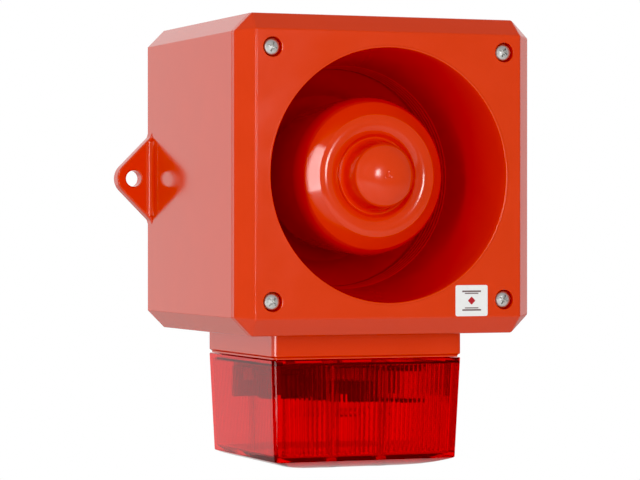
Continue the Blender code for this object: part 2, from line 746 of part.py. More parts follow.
def make_diaphragm():
    """A shallow dome with a flat outer ring; it carries the voice coil."""
    profile = [
        (0, DRIVER_FRONT + 0.9 * MM),
        (7 * MM, DRIVER_FRONT + 1.5 * MM),
        (12 * MM, DRIVER_FRONT + 3.0 * MM),
        (20 * MM, DRIVER_FRONT + 3.0 * MM),
        (20 * MM, DRIVER_FRONT + 3.5 * MM),
        (12 * MM, DRIVER_FRONT + 3.5 * MM),
        (7 * MM, DRIVER_FRONT + 2.0 * MM),
        (0, DRIVER_FRONT + 1.4 * MM),
    ]
    turned_at_depth("diaphragm", profile, DIAPHRAGM_FILM)


def make_ring(name, inner, outer, front, back, material, segments=20):
    profile = [(inner, front), (outer, front), (outer, back), (inner, back)]
    return turned_at_depth(name, profile, material, segments)


def make_driver():
    make_diaphragm()
    coil_front = DRIVER_FRONT + 4.35 * MM
    make_ring("voice_coil", COIL_INNER, COIL_OUTER, coil_front, coil_front + 6 * MM, COPPER)
    plate_front = DRIVER_FRONT + 5.2 * MM
    plate_back = plate_front + 3.2 * MM
    make_ring("top_plate", COIL_OUTER + 0.7 * MM, 33 * MM, plate_front, plate_back, ZINC)
    magnet_back = plate_back + GAP + 7.5 * MM
    make_ring("ring_magnet", 19 * MM, 34 * MM, plate_back + GAP, magnet_back, FERRITE)
    base_front = magnet_back + GAP
    base_back = base_front + 3.2 * MM
    pole_front = plate_front + 0.4 * MM
    turned_at_depth("back_plate", [
        (0, pole_front),
        (POLE_RADIUS, pole_front),
        (POLE_RADIUS, base_front),
        (33 * MM, base_front),
        (33 * MM, base_back),
        (0, base_back),
    ], ZINC)
    make_driver_can()


def make_driver_can():
    """The black cup that closes the driver's back and clamps it to the throat flange."""
    inner_radius = CAN_RADIUS - 2 * MM
    profile = [
        (THROAT_FLANGE_RADIUS + GAP, DRIVER_FRONT - 2.8 * MM),
        (CAN_RADIUS, DRIVER_FRONT - 2.8 * MM),
        (CAN_RADIUS, CAN_REAR - 2 * MM),
        (CAN_RADIUS - 2 * MM, CAN_REAR),
        (0, CAN_REAR),
        (0, CAN_REAR - 2 * MM),
        (inner_radius, CAN_REAR - 2 * MM),
        (inner_radius, DRIVER_FRONT + 4.6 * MM),
        (21 * MM, DRIVER_FRONT + 4.6 * MM),
        (21 * MM, DRIVER_FRONT),
        (THROAT_FLANGE_RADIUS + GAP, DRIVER_FRONT),
    ]
    can = turned_at_depth("driver_can", profile, BLACK_PLASTIC, 24)
    for index, side in enumerate((-1, 1)):
        hole = cylinder(f"can_wire_hole_{index}", (side * 5 * MM, at_depth(CAN_REAR - 6 * MM), -20 * MM),
                        AXIS_BACK, 10 * MM, 1.3 * MM, segments=10)
        combine(can, hole)


def make_driver_leads():
    """Two wires from the back of the can to the plug on the circuit board."""
    start_depth = CAN_REAR - 1 * MM
    plug_top = DRIVER_PLUG_TOP
    for name, side, material in (("red", -1, RED_WIRE), ("black", 1, BLACK_WIRE)):
        x = side * 5 * MM
        end_x = DRIVER_PLUG_X + side * 2 * MM
        points = [
            (x, at_depth(start_depth), -20 * MM),
            (x, at_depth(CAN_REAR + 2.6 * MM), -22 * MM),
            (x, at_depth(CAN_REAR + 3.4 * MM), -30 * MM),
            (x, at_depth(CAN_REAR + 0.4 * MM), -38 * MM),
            (end_x, at_depth(plug_top - 7 * MM), -44 * MM),
            (end_x, at_depth(plug_top - 6.5 * MM), DRIVER_PLUG_Z + 1 * MM),
            (end_x, at_depth(plug_top - GAP), DRIVER_PLUG_Z),
        ]
        wire(f"driver_lead_{name}", points, 0.8 * MM, material)


# ---------------------------------------------------------------- circuit board

DRIVER_PLUG_X = 0
DRIVER_PLUG_Z = -50 * MM
DRIVER_HEADER_TOP = 131.5 * MM
DRIVER_PLUG_TOP = 125 * MM


def board_part(name, centre, half, height, material, lift=GAP):
    """A block standing off the front of the circuit board."""
    front = BOARD_FRONT - lift - height
    return box(name, (centre[0] - half[0], at_depth(front), centre[1] - half[1]),
               (centre[0] + half[0], at_depth(BOARD_FRONT - lift), centre[1] + half[1]), material)


def make_main_board():
    board = box("main_board", (-BOARD_HALF_X, at_depth(BOARD_FRONT), -BOARD_HALF_Z),
                (BOARD_HALF_X, at_depth(BOARD_FRONT + BOARD_THICKNESS), BOARD_HALF_Z), BOARD_GREEN)
    for name in BOARD_SCREWS:
        side_x, side_z = CORNERS[name]
        start = (side_x * BOARD_SCREW_X, at_depth(BOARD_FRONT - CUTTER_MARGIN), side_z * BOARD_SCREW_Z)
        hole = cylinder(f"{name}_board_hole", start, AXIS_BACK, BOARD_THICKNESS + 2 * CUTTER_MARGIN, 1.8 * MM,
                        segments=12)
        combine(board, hole)
        seat = (start[0], at_depth(BOARD_FRONT - GAP), start[2])
        pan_head_screw(f"board_screw_{name}", seat, AXIS_BACK, 3.0 * MM, 2.0 * MM, 1.35 * MM, 8 * MM, STEEL,
                       segments=12)


def make_transformer():
    """A bobbin-wound audio transformer: a laminated block with the winding bulging on both sides."""
    core = board_part("transformer", (-52 * MM, -34 * MM), (13 * MM, 11 * MM), 20 * MM, ZINC, lift=4 * MM)
    winding = board_part("transformer_winding", (-52 * MM, -34 * MM), (9 * MM, 14 * MM), 16 * MM, None,
                         lift=GAP)
    combine(core, winding, "UNION")


def make_reservoir_capacitors():
    for index, height in enumerate((14 * MM, 36 * MM)):
        start = (-56 * MM, at_depth(BOARD_FRONT - GAP), height)
        profile = [
            (0, 22 * MM),
            (7 * MM, 22 * MM),
            (8 * MM, 21 * MM),
            (8 * MM, 4 * MM),
            (7.4 * MM, 3.2 * MM),
            (8 * MM, 2.4 * MM),
            (8 * MM, 0),
            (0, 0),
        ]
        turned(f"reservoir_capacitor_{index + 1}", profile, BLUE_PLASTIC, 14, start=start)


def make_terminal_blocks():
    """Two rising-clamp blocks: a wire entry in the side and a screw well in the top for each way."""
    ways = 5
    pitch = 5.08 * MM
    for name, height in (("supply", 28 * MM), ("output", -28 * MM)):
        centre = (54 * MM, height)
        half = (5.5 * MM, ways * pitch / 2 + 0.5 * MM)
        block = board_part(f"terminal_block_{name}", centre, half, 14 * MM, GREEN_PLASTIC)
        for way in range(ways):
            z = height + (way - (ways - 1) / 2) * pitch
            y_entry = at_depth(BOARD_FRONT - 4.5 * MM)
            entry = box(f"{name}_entry_{way}", (centre[0] + 0.5 * MM, y_entry - 1.8 * MM, z - 1.7 * MM),
                        (centre[0] + half[0] + CUTTER_MARGIN, y_entry + 1.8 * MM, z + 1.7 * MM))
            combine(block, entry)
            well_start = (centre[0] - 1.5 * MM, at_depth(BOARD_FRONT - 14 * MM - CUTTER_MARGIN), z)
            well = cylinder(f"{name}_well_{way}", well_start, AXIS_BACK, 4 * MM + CUTTER_MARGIN, 1.9 * MM,
                            segments=8)
            combine(block, well)


DIP_CENTRE = (22 * MM, -57 * MM)
DIP_WAYS = 4
DIP_PITCH = 2.54 * MM
DIP_HEIGHT = 5.4 * MM
DIP_TRAVEL = 1.6 * MM
DIP_LEVER_HALF = 0.6 * MM


def make_dip_switch():
    """Tone-select switch: levers slide in slots across the body."""
    half = (DIP_WAYS * DIP_PITCH / 2 + 0.6 * MM, 4.5 * MM)
    body = board_part("tone_switch_body", DIP_CENTRE, half, DIP_HEIGHT, RED_WIRE)
    face = BOARD_FRONT - GAP - DIP_HEIGHT
    for way in range(DIP_WAYS):
        x = DIP_CENTRE[0] + (way - (DIP_WAYS - 1) / 2) * DIP_PITCH
        slot_half_z = DIP_TRAVEL / 2 + DIP_LEVER_HALF + GAP
        slot = box(f"tone_slot_{way}", (x - 0.9 * MM, at_depth(face) - CUTTER_MARGIN, DIP_CENTRE[1] - slot_half_z),
                   (x + 0.9 * MM, at_depth(face + 2.6 * MM), DIP_CENTRE[1] + slot_half_z))
        combine(body, slot)
        lever_z = DIP_CENTRE[1] - DIP_TRAVEL / 2
        box(f"tone_lever_{way + 1}", (x - 0.55 * MM, at_depth(face - 0.9 * MM), lever_z - DIP_LEVER_HALF),
            (x + 0.55 * MM, at_depth(face + 2.3 * MM), lever_z + DIP_LEVER_HALF), WHITE_PLASTIC)


TRIMMER_CENTRE = (44 * MM, -57 * MM)
TRIMMER_HEIGHT = 6.5 * MM


def make_volume_trimmer():
    """A square trimmer whose slotted rotor turns in a round well."""
    half = (5 * MM, 5 * MM)
    body = board_part("volume_trimmer_body", TRIMMER_CENTRE, half, TRIMMER_HEIGHT, BLUE_PLASTIC)
    face = BOARD_FRONT - GAP - TRIMMER_HEIGHT
    well_start = (TRIMMER_CENTRE[0], at_depth(face) - CUTTER_MARGIN, TRIMMER_CENTRE[1])
    well = cylinder("trimmer_well", well_start, AXIS_BACK, CUTTER_MARGIN + 3 * MM, 3.6 * MM, segments=14)
    combine(body, well)
    rotor_start = (TRIMMER_CENTRE[0], at_depth(face), TRIMMER_CENTRE[1])
    profile = [(0, 0.8 * MM), (2.8 * MM, 0.8 * MM), (3.1 * MM, 0.5 * MM), (3.1 * MM, -2.6 * MM), (0, -2.6 * MM)]
    rotor = turned("volume_trimmer_rotor", profile, WHITE_PLASTIC, 16, start=rotor_start)
    slot_y = at_depth(face) - 0.8 * MM
    slot = box("rotor_slot", (TRIMMER_CENTRE[0] - 0.45 * MM, slot_y - CUTTER_MARGIN, TRIMMER_CENTRE[1] - 2.2 * MM),
               (TRIMMER_CENTRE[0] + 0.45 * MM, slot_y + 1.1 * MM, TRIMMER_CENTRE[1] + 2.2 * MM))
    combine(rotor, slot)


def make_controller():
    board_part("controller_chip", (-18 * MM, 50 * MM), (12 * MM, 4.5 * MM), 3.6 * MM, BLACK_PLASTIC, lift=0.8 * MM)


def make_driver_plug():
    header_height = BOARD_FRONT - GAP - DRIVER_HEADER_TOP
    header = board_part("driver_header", (DRIVER_PLUG_X, DRIVER_PLUG_Z), (5 * MM, 3.2 * MM), header_height,
                        WHITE_PLASTIC)
    socket = box("driver_header_socket",
                 (DRIVER_PLUG_X - 3.9 * MM, at_depth(DRIVER_HEADER_TOP) - CUTTER_MARGIN, DRIVER_PLUG_Z - 2.1 * MM),
                 (DRIVER_PLUG_X + 3.9 * MM, at_depth(DRIVER_HEADER_TOP + 3.2 * MM), DRIVER_PLUG_Z + 2.1 * MM))
    combine(header, socket)
    box("driver_plug", (DRIVER_PLUG_X - 3.6 * MM, at_depth(DRIVER_PLUG_TOP), DRIVER_PLUG_Z - 1.8 * MM),
        (DRIVER_PLUG_X + 3.6 * MM, at_depth(DRIVER_HEADER_TOP + 2.9 * MM), DRIVER_PLUG_Z + 1.8 * MM),
        WHITE_PLASTIC, round_axis=1, radius=0.4 * MM)


# ---------------------------------------------------------------- beacon

COLLAR_SCREW_X = 38 * MM
COLLAR_WALL = 4 * MM
COLLAR_FLOOR = 3 * MM


def beacon_box(name, half_x, half_y, low, high, material=None, radius=3 * MM, segments=2):
    centre_y = at_depth(BEACON_DEPTH)
    return box(name, (-half_x, centre_y - half_y, low), (half_x, centre_y + half_y, high), material,
               round_axis=2, radius=radius, segments=segments)


def beacon_point(x, y, z):
    return (x, at_depth(BEACON_DEPTH) + y, z)


def tapered_solid(name, inset, top, bottom, dome, material=None, radius=3 * MM):
    """The lens form: four drawn-in sides with rounded corners, closed by a shallow stepped dome."""
    centre_y = at_depth(BEACON_DEPTH)
    half = (COLLAR_HALF_X - inset, COLLAR_HALF_Y - inset)
    bm = box_bmesh((-half[0], centre_y - half[1], bottom), (half[0], centre_y + half[1], top))
    bmesh.ops.bevel(bm, geom=edges_along(bm, 2), offset=radius, segments=2, profile=0.5, affect="EDGES")
    bm.normal_update()
    floor = [face for face in bm.faces if face.normal.z < -0.9]
    about_centre = Matrix.Translation((0, -centre_y, 0))
    draw_in = LENS_TAPER * (top - bottom) / (LENS_TOP - LENS_BOTTOM)
    shrink = Vector(((half[0] - draw_in) / half[0], (half[1] - draw_in) / half[1], 1))
    bmesh.ops.scale(bm, vec=shrink, space=about_centre, verts=floor[0].verts)
    for share, drop in DOME_STEPS:
        bmesh.ops.inset_region(bm, faces=floor, thickness=0.1 * MM)
        bmesh.ops.scale(bm, vec=(share, share, 1), space=about_centre, verts=floor[0].verts)
        bmesh.ops.translate(bm, vec=(0, 0, drop * (dome - bottom)), verts=floor[0].verts)
    return from_bmesh(name, bm, material)


def make_beacon_collar():
    collar = beacon_box("beacon_collar", COLLAR_HALF_X, COLLAR_HALF_Y, COLLAR_BOTTOM, COLLAR_TOP, RED_PLASTIC)
    chamfer_collar_rim(collar)
    ledge = -92.4 * MM
    lower = beacon_box("collar_lower_pocket", 49 * MM, 48 * MM, COLLAR_BOTTOM - CUTTER_MARGIN, ledge)
    upper = beacon_box("collar_upper_pocket", 46.2 * MM, 45.2 * MM, ledge - CUTTER_MARGIN, COLLAR_TOP - COLLAR_FLOOR)
    combine(collar, lower)
    combine(collar, upper)
    groove = beacon_box("collar_groove", 46 * MM, 45 * MM, COLLAR_TOP - 1.3 * MM, COLLAR_TOP + CUTTER_MARGIN)
    groove_middle = beacon_box("collar_groove_middle", 43 * MM, 42 * MM, COLLAR_TOP - 2 * CUTTER_MARGIN,
                               COLLAR_TOP + 2 * CUTTER_MARGIN)
    combine(groove, groove_middle)
    combine(collar, groove)
    wire_hole = cylinder("collar_wire_hole", beacon_point(0, 0, COLLAR_TOP + CUTTER_MARGIN), AXIS_DOWN,
                         COLLAR_FLOOR + 2 * CUTTER_MARGIN, 7 * MM, segments=12)
    combine(collar, wire_hole)
    add_collar_posts(collar)


def chamfer_collar_rim(collar):
    """Draws the collar's lower rim in, so that a fine step shows above the lens."""
    mesh = collar.data
    bm = bmesh.new()
    bm.from_mesh(mesh)
    rim = [edge for edge in bm.edges if all(vert.co.z < COLLAR_BOTTOM + 0.01 * MM for vert in edge.verts)]
    bmesh.ops.bevel(bm, geom=rim, offset=1.5 * MM, segments=1, profile=0.5, affect="EDGES")
    bm.to_mesh(mesh)
    bm.free()


def add_collar_posts(collar):
    """Threaded posts for the lens screws, blocks for the collar screws and pegs for the strobe board."""
    post_top = COLLAR_TOP - COLLAR_FLOOR / 2
    for name, (side_x, side_y) in CORNERS.items():
        start = beacon_point(side_x * LENS_SCREW_X, side_y * LENS_SCREW_Y, post_top)
        post = cylinder(f"{name}_post", start, AXIS_DOWN, post_top + 99.4 * MM, 4.5 * MM, segments=10)
        combine(collar, post, "UNION")
        hole_start = beacon_point(side_x * LENS_SCREW_X, side_y * LENS_SCREW_Y, -88 * MM)
        hole = cylinder(f"{name}_post_hole", hole_start, AXIS_DOWN, 14 * MM, 2.0 * MM, segments=8)
        combine(collar, hole)
    for name, side in (("left", -1), ("right", 1)):
        start = beacon_point(side * COLLAR_SCREW_X, 0, post_top)
        post = cylinder(f"{name}_fixing_post", start, AXIS_DOWN, 9 * MM, 4 * MM, segments=10)
        combine(collar, post, "UNION")
        hole_start = beacon_point(side * COLLAR_SCREW_X, 0, COLLAR_TOP + CUTTER_MARGIN)
        hole = cylinder(f"{name}_fixing_hole", hole_start, AXIS_DOWN, CUTTER_MARGIN + 9.4 * MM, 2.0 * MM,
                        segments=8)
        combine(collar, hole)
        peg_x = side * STROBE_PEG_X
        peg = cylinder(f"{name}_peg", beacon_point(peg_x, 0, post_top), AXIS_DOWN,
                       post_top - STROBE_BOARD_TOP - GAP, 3 * MM, segments=8)
        tip = cylinder(f"{name}_peg_tip", beacon_point(peg_x, 0, STROBE_BOARD_TOP + 2 * MM), AXIS_DOWN,
                       5.4 * MM, 1.2 * MM, segments=8)
        combine(collar, peg, "UNION")
        combine(collar, tip, "UNION")


def make_collar_gasket():
    top = COLLAR_TOP
    bottom = COLLAR_TOP - 1.3 * MM + GAP
    gasket = beacon_box("collar_gasket", 45.7 * MM, 44.7 * MM, bottom, top, RUBBER)
    middle = beacon_box("collar_gasket_middle", 43.3 * MM, 42.3 * MM, bottom - CUTTER_MARGIN, top + CUTTER_MARGIN)
    combine(gasket, middle)


def make_collar_screws():
    seat_z = -HOUSING_WIDTH / 2 + WALL + GAP
    for name, side in (("left", -1), ("right", 1)):
        seat = beacon_point(side * COLLAR_SCREW_X, 0, seat_z)
        pan_head_screw(f"collar_screw_{name}", seat, AXIS_DOWN, 3.6 * MM, 2.4 * MM, 1.6 * MM, 12 * MM, STEEL,
                       segments=12)


def make_lens_gasket():
    top = -92.7 * MM
    bottom = -94.2 * MM
    gasket = beacon_box("lens_gasket", 48.7 * MM, 47.7 * MM, bottom, top, RUBBER)
    middle = beacon_box("lens_gasket_middle", 46.5 * MM, 45.5 * MM, bottom - CUTTER_MARGIN, top + CUTTER_MARGIN)
    combine(gasket, middle)


def make_beacon_lens():
    lens = tapered_solid("beacon_lens", 0, LENS_TOP, LENS_BOTTOM, LENS_DOME, RED_LENS)
    tongue = beacon_box("lens_tongue", 48.7 * MM, 47.7 * MM, LENS_TOP - 2 * CUTTER_MARGIN, -94.5 * MM)
    combine(lens, tongue, "UNION")
    overshoot = LENS_TOP + 3 * CUTTER_MARGIN
    hollow = tapered_solid("lens_hollow", 6.4 * MM, overshoot, LENS_BOTTOM + LENS_WALL, LENS_DOME + LENS_WALL)
    combine(lens, hollow)
    for name, (side_x, side_y) in CORNERS.items():
        x = side_x * LENS_SCREW_X
        y = side_y * LENS_SCREW_Y
        pillar = cylinder(f"{name}_lens_pillar", beacon_point(x, y, -99.8 * MM), AXIS_DOWN, 55 * MM, 3.6 * MM,
                          segments=10)
        seat_block = cylinder(f"{name}_lens_seat", beacon_point(x, y, -149 * MM), AXIS_DOWN, 4.6 * MM, 5.8 * MM,
                              segments=12)
        bore = cylinder(f"{name}_lens_bore", beacon_point(x, y, -97 * MM), AXIS_DOWN, 66 * MM, 2.2 * MM,
                        segments=8)
        counterbore = cylinder(f"{name}_lens_counterbore", beacon_point(x, y, LENS_HEAD_SEAT), AXIS_DOWN,
                               10 * MM, 4.1 * MM, segments=12)
        combine(lens, pillar, "UNION")
        combine(lens, seat_block, "UNION")
        combine(lens, bore)
        combine(lens, counterbore)


LENS_HEAD_SEAT = -152.4 * MM


def make_lens_screws():
    up = Vector((0, 0, 1))
    for name, (side_x, side_y) in CORNERS.items():
        seat = beacon_point(side_x * LENS_SCREW_X, side_y * LENS_SCREW_Y, LENS_HEAD_SEAT - GAP)
        pan_head_screw(f"lens_screw_{name}", seat, up, 3.6 * MM, 2.0 * MM, 1.6 * MM, 62 * MM, STEEL,
                       segments=12)


STROBE_PEG_X = 26 * MM
STROBE_BOARD_BOTTOM = STROBE_BOARD_TOP - 1.6 * MM


def make_strobe_board():
    centre_y = at_depth(BEACON_DEPTH)
    board = box("strobe_board", (-42 * MM, centre_y - 25.5 * MM, STROBE_BOARD_BOTTOM),
                (42 * MM, centre_y + 25.5 * MM, STROBE_BOARD_TOP), BOARD_GREEN)
    for name, side in (("left", -1), ("right", 1)):
        hole = cylinder(f"{name}_peg_hole", beacon_point(side * STROBE_PEG_X, 0, STROBE_BOARD_TOP + CUTTER_MARGIN),
                        AXIS_DOWN, 6 * MM, 1.6 * MM, segments=8)
        combine(board, hole)


def make_strobe_parts():
    hang = STROBE_BOARD_BOTTOM - GAP
    cylinder("flash_capacitor", beacon_point(-33 * MM, -15 * MM, hang), AXIS_DOWN, 15.5 * MM, 9 * MM,
             BLACK_PLASTIC)
    box("trigger_transformer", beacon_point(26 * MM, -24 * MM, hang - 19 * MM), beacon_point(40 * MM, -8 * MM, hang),
        BLACK_PLASTIC)
    make_xenon_tube(hang)


def make_xenon_tube(hang):
    """A clear U-shaped flash tube standing down from the middle of the board."""
    half = 11 * MM
    low = hang - 25 * MM
    y = at_depth(BEACON_DEPTH)
    points = [
        (-half, y, hang),
        (-half, y, hang - 8 * MM),
        (-half, y, hang - 16 * MM),
        (-half + 3 * MM, y, low + 1.2 * MM),
        (0, y, low),
        (half - 3 * MM, y, low + 1.2 * MM),
        (half, y, hang - 16 * MM),
        (half, y, hang - 8 * MM),
        (half, y, hang),
    ]
    wire("xenon_tube", points, 2.5 * MM, FLASH_GLASS)


def main():
    make_rear_housing()
    make_screw_inserts()
    make_cover_gasket()
    make_cable_plugs()
    make_front_cover()
    make_cover_screws()
    make_front_label()
    make_horn_bell()
    make_horn_throat()
    make_horn_cap()
    make_driver()
    make_driver_leads()
    make_driver_plug()
    make_main_board()
    make_transformer()
    make_reservoir_capacitors()
    make_terminal_blocks()
    make_dip_switch()
    make_volume_trimmer()
    make_controller()
    make_beacon_collar()
    make_collar_gasket()
    make_collar_screws()
    make_lens_gasket()
    make_beacon_lens()
    make_lens_screws()
    make_strobe_board()
    make_strobe_parts()


main()
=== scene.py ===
import json
import math

import bmesh
import bpy
from mathutils import Matrix, Vector


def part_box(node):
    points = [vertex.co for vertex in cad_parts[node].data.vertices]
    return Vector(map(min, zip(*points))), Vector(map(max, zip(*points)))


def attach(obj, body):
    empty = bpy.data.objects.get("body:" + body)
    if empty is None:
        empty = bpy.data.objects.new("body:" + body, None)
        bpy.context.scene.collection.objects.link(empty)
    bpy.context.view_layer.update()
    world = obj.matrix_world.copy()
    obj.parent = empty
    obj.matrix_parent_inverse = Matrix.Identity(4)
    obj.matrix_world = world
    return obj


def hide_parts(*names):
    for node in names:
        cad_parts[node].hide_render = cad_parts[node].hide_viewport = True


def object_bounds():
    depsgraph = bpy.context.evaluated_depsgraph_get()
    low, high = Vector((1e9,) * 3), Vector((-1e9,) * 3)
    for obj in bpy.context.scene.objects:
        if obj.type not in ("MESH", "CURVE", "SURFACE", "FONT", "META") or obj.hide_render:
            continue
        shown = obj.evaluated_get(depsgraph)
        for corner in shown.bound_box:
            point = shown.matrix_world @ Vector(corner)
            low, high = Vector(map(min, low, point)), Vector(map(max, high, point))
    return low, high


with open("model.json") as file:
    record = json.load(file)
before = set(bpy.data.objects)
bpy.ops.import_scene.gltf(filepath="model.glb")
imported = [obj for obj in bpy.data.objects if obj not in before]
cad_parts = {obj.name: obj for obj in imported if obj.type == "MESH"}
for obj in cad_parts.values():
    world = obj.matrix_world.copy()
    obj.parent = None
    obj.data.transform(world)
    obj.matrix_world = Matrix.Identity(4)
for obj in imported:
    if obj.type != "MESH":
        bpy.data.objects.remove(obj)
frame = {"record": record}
cad_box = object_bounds()

# Every shape is drawn in millimetres, +Z up, and becomes metres when its piece is made. The front
# looks along -Y; a point d behind the front panel is at y = D(d).
MM = 0.001
PANEL_Y = cad_box[0][1] / MM
UP = (0, 0, 1)
DOWN = (0, 0, -1)
FRONT = (0, -1, 0)
BACK = (0, 1, 0)
RIGHT = (1, 0, 0)
HALF = 83.0                         # half of the housing's width and height
CORNER_CUT = 9.6
WALL = 3.5
CORNERS = {"upper_left": (-1, 1), "upper_right": (1, 1), "lower_left": (-1, -1), "lower_right": (1, -1)}
SLOTS = {row["node"]: row["material_slot"] for row in frame["record"]["subparts"]}
BODIES = {node: body for body, nodes in frame["record"]["behaviour"]["bodies"].items() for node in nodes}
SCREW_AT = 65.1                     # the cover screws, their bosses and inserts, from the middle both ways
BOARD_SCREW_AT = (62, 56)
ENTRY_DEPTH = 107
ENTRIES = {"upper": 26, "lower": -26}


def D(depth):
    return PANEL_Y + depth


def board_corner(side_x, side_z, depth):
    return (side_x * BOARD_SCREW_AT[0], D(depth), side_z * BOARD_SCREW_AT[1])


def centre_of(node):
    low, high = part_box(node)
    return (low + high) / 2 / MM


# ---------------------------------------------------------------- outlines

def rounded(points, radius, closed=True, steps=3):
    """The outline with each corner turned into a short arc; a point's third number is its own radius."""
    out = []
    count = len(points)
    for index, point in enumerate(points):
        here = Vector(point[:2])
        if not closed and index in (0, count - 1):
            out.append(here)
            continue
        before = Vector(points[index - 1][:2]) - here
        after = Vector(points[(index + 1) % count][:2]) - here
        size = point[2] if len(point) > 2 else radius
        if before.length < 1e-6 or after.length < 1e-6:
            continue
        turn = math.pi - before.angle(after)
        if size <= 0 or turn < 0.15:
            out.append(here)
            continue
        reach = min(size * math.tan(turn / 2), 0.48 * before.length, 0.48 * after.length)
        first = here + before.normalized() * reach
        last = here + after.normalized() * reach
        for step in range(steps + 1):
            t = step / steps
            out.append(first * (1 - t) ** 2 + here * 2 * t * (1 - t) + last * t ** 2)
    return out


def inset(outline, amount):
    """The outline drawn in by amount on every side."""
    if amount == 0:
        return [Vector(point) for point in outline]
    points = [Vector(point) for point in outline]
    count = len(points)
    area = sum(points[i - 1].x * points[i].y - points[i].x * points[i - 1].y for i in range(count))
    side = 1 if area > 0 else -1
    out = []
    for index, point in enumerate(points):
        a = (point - points[index - 1]).normalized()
        b = (points[(index + 1) % count] - point).normalized()
        normal = Vector((-a.y, a.x))
        middle = (normal + Vector((-b.y, b.x))).normalized()
        out.append(point + middle * (side * amount / max(middle.dot(normal), 0.35)))
    return out


def rect(centre, half, radius=0.0, steps=4):
    (x, y), (hx, hy) = centre, half
    corners = [(x - hx, y - hy), (x + hx, y - hy), (x + hx, y + hy), (x - hx, y + hy)]
    return rounded(corners, radius, steps=steps) if radius else [Vector(c) for c in corners]


def octagon(half, drawn_in, radius=0.0):
    """The housing's outline seen from the front, its corner cut kept parallel as it is drawn in."""
    near = half - (CORNER_CUT - drawn_in * (2 - math.sqrt(2)))
    points = [(half, -near), (half, near), (near, half), (-near, half),
              (-half, near), (-half, -near), (-near, -half), (near, -half)]
    return rounded(points, radius) if radius else [Vector(p) for p in points]


# ---------------------------------------------------------------- solids, as bmeshes

PLACE = {"x": lambda u, v, w: (w, u, v), "y": lambda u, v, w: (u, w, v), "z": lambda u, v, w: (u, v, w)}


def loft(rings):
    """A skin over rings of points that all have the same count."""
    bm = bmesh.new()
    rows = [[bm.verts.new(point) for point in ring] for ring in rings]
    count = len(rows[0])
    for a, b in zip(rows, rows[1:]):
        for i in range(count):
            j = (i + 1) % count
            bm.faces.new((a[i], a[j], b[j], b[i]))
    bm.faces.new(rows[0][::-1])
    bm.faces.new(rows[-1])
    bmesh.ops.recalc_face_normals(bm, faces=bm.faces)
    return bm


def slab(outline, low, high, axis="y", edge=0.0, steps=2):
    """The outline, given thickness along an axis, with rounded rims."""
    levels = [(low, 0.0), (high, 0.0)]
    if edge:
        arc = [math.radians(90 * s / steps) for s in range(steps + 1)]
        levels = [(low + edge * (1 - math.sin(a)), edge * (1 - math.cos(a))) for a in reversed(arc)]
        levels += [(high - edge * (1 - math.sin(a)), edge * (1 - math.cos(a))) for a in arc]
    put = PLACE[axis]
    return loft([[put(p.x, p.y, w) for p in inset(outline, amount)] for w, amount in levels])


def block(low, high, axis="y", corner=0.0, edge=0.0):
    """A box: corner rounds the edges along the axis, edge the others."""
    order = {"x": (1, 2, 0), "y": (0, 2, 1), "z": (0, 1, 2)}[axis]
    lo = [min(low[i], high[i]) for i in order]
    hi = [max(low[i], high[i]) for i in order]
    centre = ((lo[0] + hi[0]) / 2, (lo[1] + hi[1]) / 2)
    half = ((hi[0] - lo[0]) / 2, (hi[1] - lo[1]) / 2)
    return slab(rect(centre, half, corner), lo[2], hi[2], axis, edge)


def depth_block(x, z, half_x, half_z, front, back, corner=0.0, edge=0.0):
    """A block about (x, z), from one depth behind the panel to another."""
    return block((x - half_x, D(front), z - half_z), (x + half_x, D(back), z + half_z), "y", corner, edge)


def turn_to(axis):
    return Vector(UP).rotation_difference(Vector(axis).normalized()).to_matrix().to_4x4()


def lathe(profile, start=None, axis=FRONT, count=96, radius=0.0, steps=3):
    """A solid of revolution; the profile is (radius, height along axis)."""
    touching = profile[0][0] == 0 and profile[-1][0] == 0
    points = [Vector(p[:2]) for p in profile]
    if radius:
        points = rounded(profile, radius, closed=not touching, steps=steps)
    bm = bmesh.new()
    rings = []
    for r, height in points:
        if r < 1e-6:
            rings.append([bm.verts.new((0, 0, height))])
            continue
        turns = [2 * math.pi * k / count for k in range(count)]
        rings.append([bm.verts.new((r * math.cos(t), r * math.sin(t), height)) for t in turns])
    pairs = list(zip(rings, rings[1:]))
    if not touching:
        pairs.append((rings[-1], rings[0]))
    for a, b in pairs:
        for i in range(count):
            j = (i + 1) % count
            if len(a) == 1 and len(b) == 1:
                break
            if len(a) == 1:
                bm.faces.new((a[0], b[i], b[j]))
            elif len(b) == 1:
                bm.faces.new((a[i], b[0], a[j]))
            else:
                bm.faces.new((a[i], b[i], b[j], a[j]))
    bm.transform(Matrix.Translation(Vector(start or (0, D(0), 0))) @ turn_to(axis))
    bmesh.ops.recalc_face_normals(bm, faces=bm.faces)
    return bm


def horn_lathe(profile, count=120, radius=0.0, steps=3):
    """A solid of revolution on the horn's axis; the profile is (radius, depth behind the panel)."""
    return lathe([(p[0], -p[1], *p[2:]) for p in profile], count=count, radius=radius, steps=steps)


def horn_ring(inner, outer, front, back, radius):
    """A flat-faced ring on the horn's axis, between two depths."""
    return horn_lathe([(inner, front), (outer, front), (outer, back), (inner, back)], 96, radius)


def rod(start, axis, length, radius, count=24, edge=0.0, end_radius=None):
    """A round bar with rounded ends."""
    last = radius if end_radius is None else end_radius
    return lathe([(0, 0), (radius, 0), (last, length), (0, length)], start, axis, count, edge)


def smooth_route(points, steps=6):
    """A Catmull-Rom line through the points."""
    points = [Vector(point) for point in points]
    route = []
    for i in range(len(points) - 1):
        before = points[max(i - 1, 0)]
        start = points[i]
        end = points[i + 1]
        after = points[min(i + 2, len(points) - 1)]
        for step in range(steps):
            t = step / steps
            route.append(0.5 * (2 * start + (end - before) * t
                                + (2 * before - 5 * start + 4 * end - after) * t ** 2
                                + (3 * start - before - 3 * end + after) * t ** 3))
    route.append(points[-1])
    return route


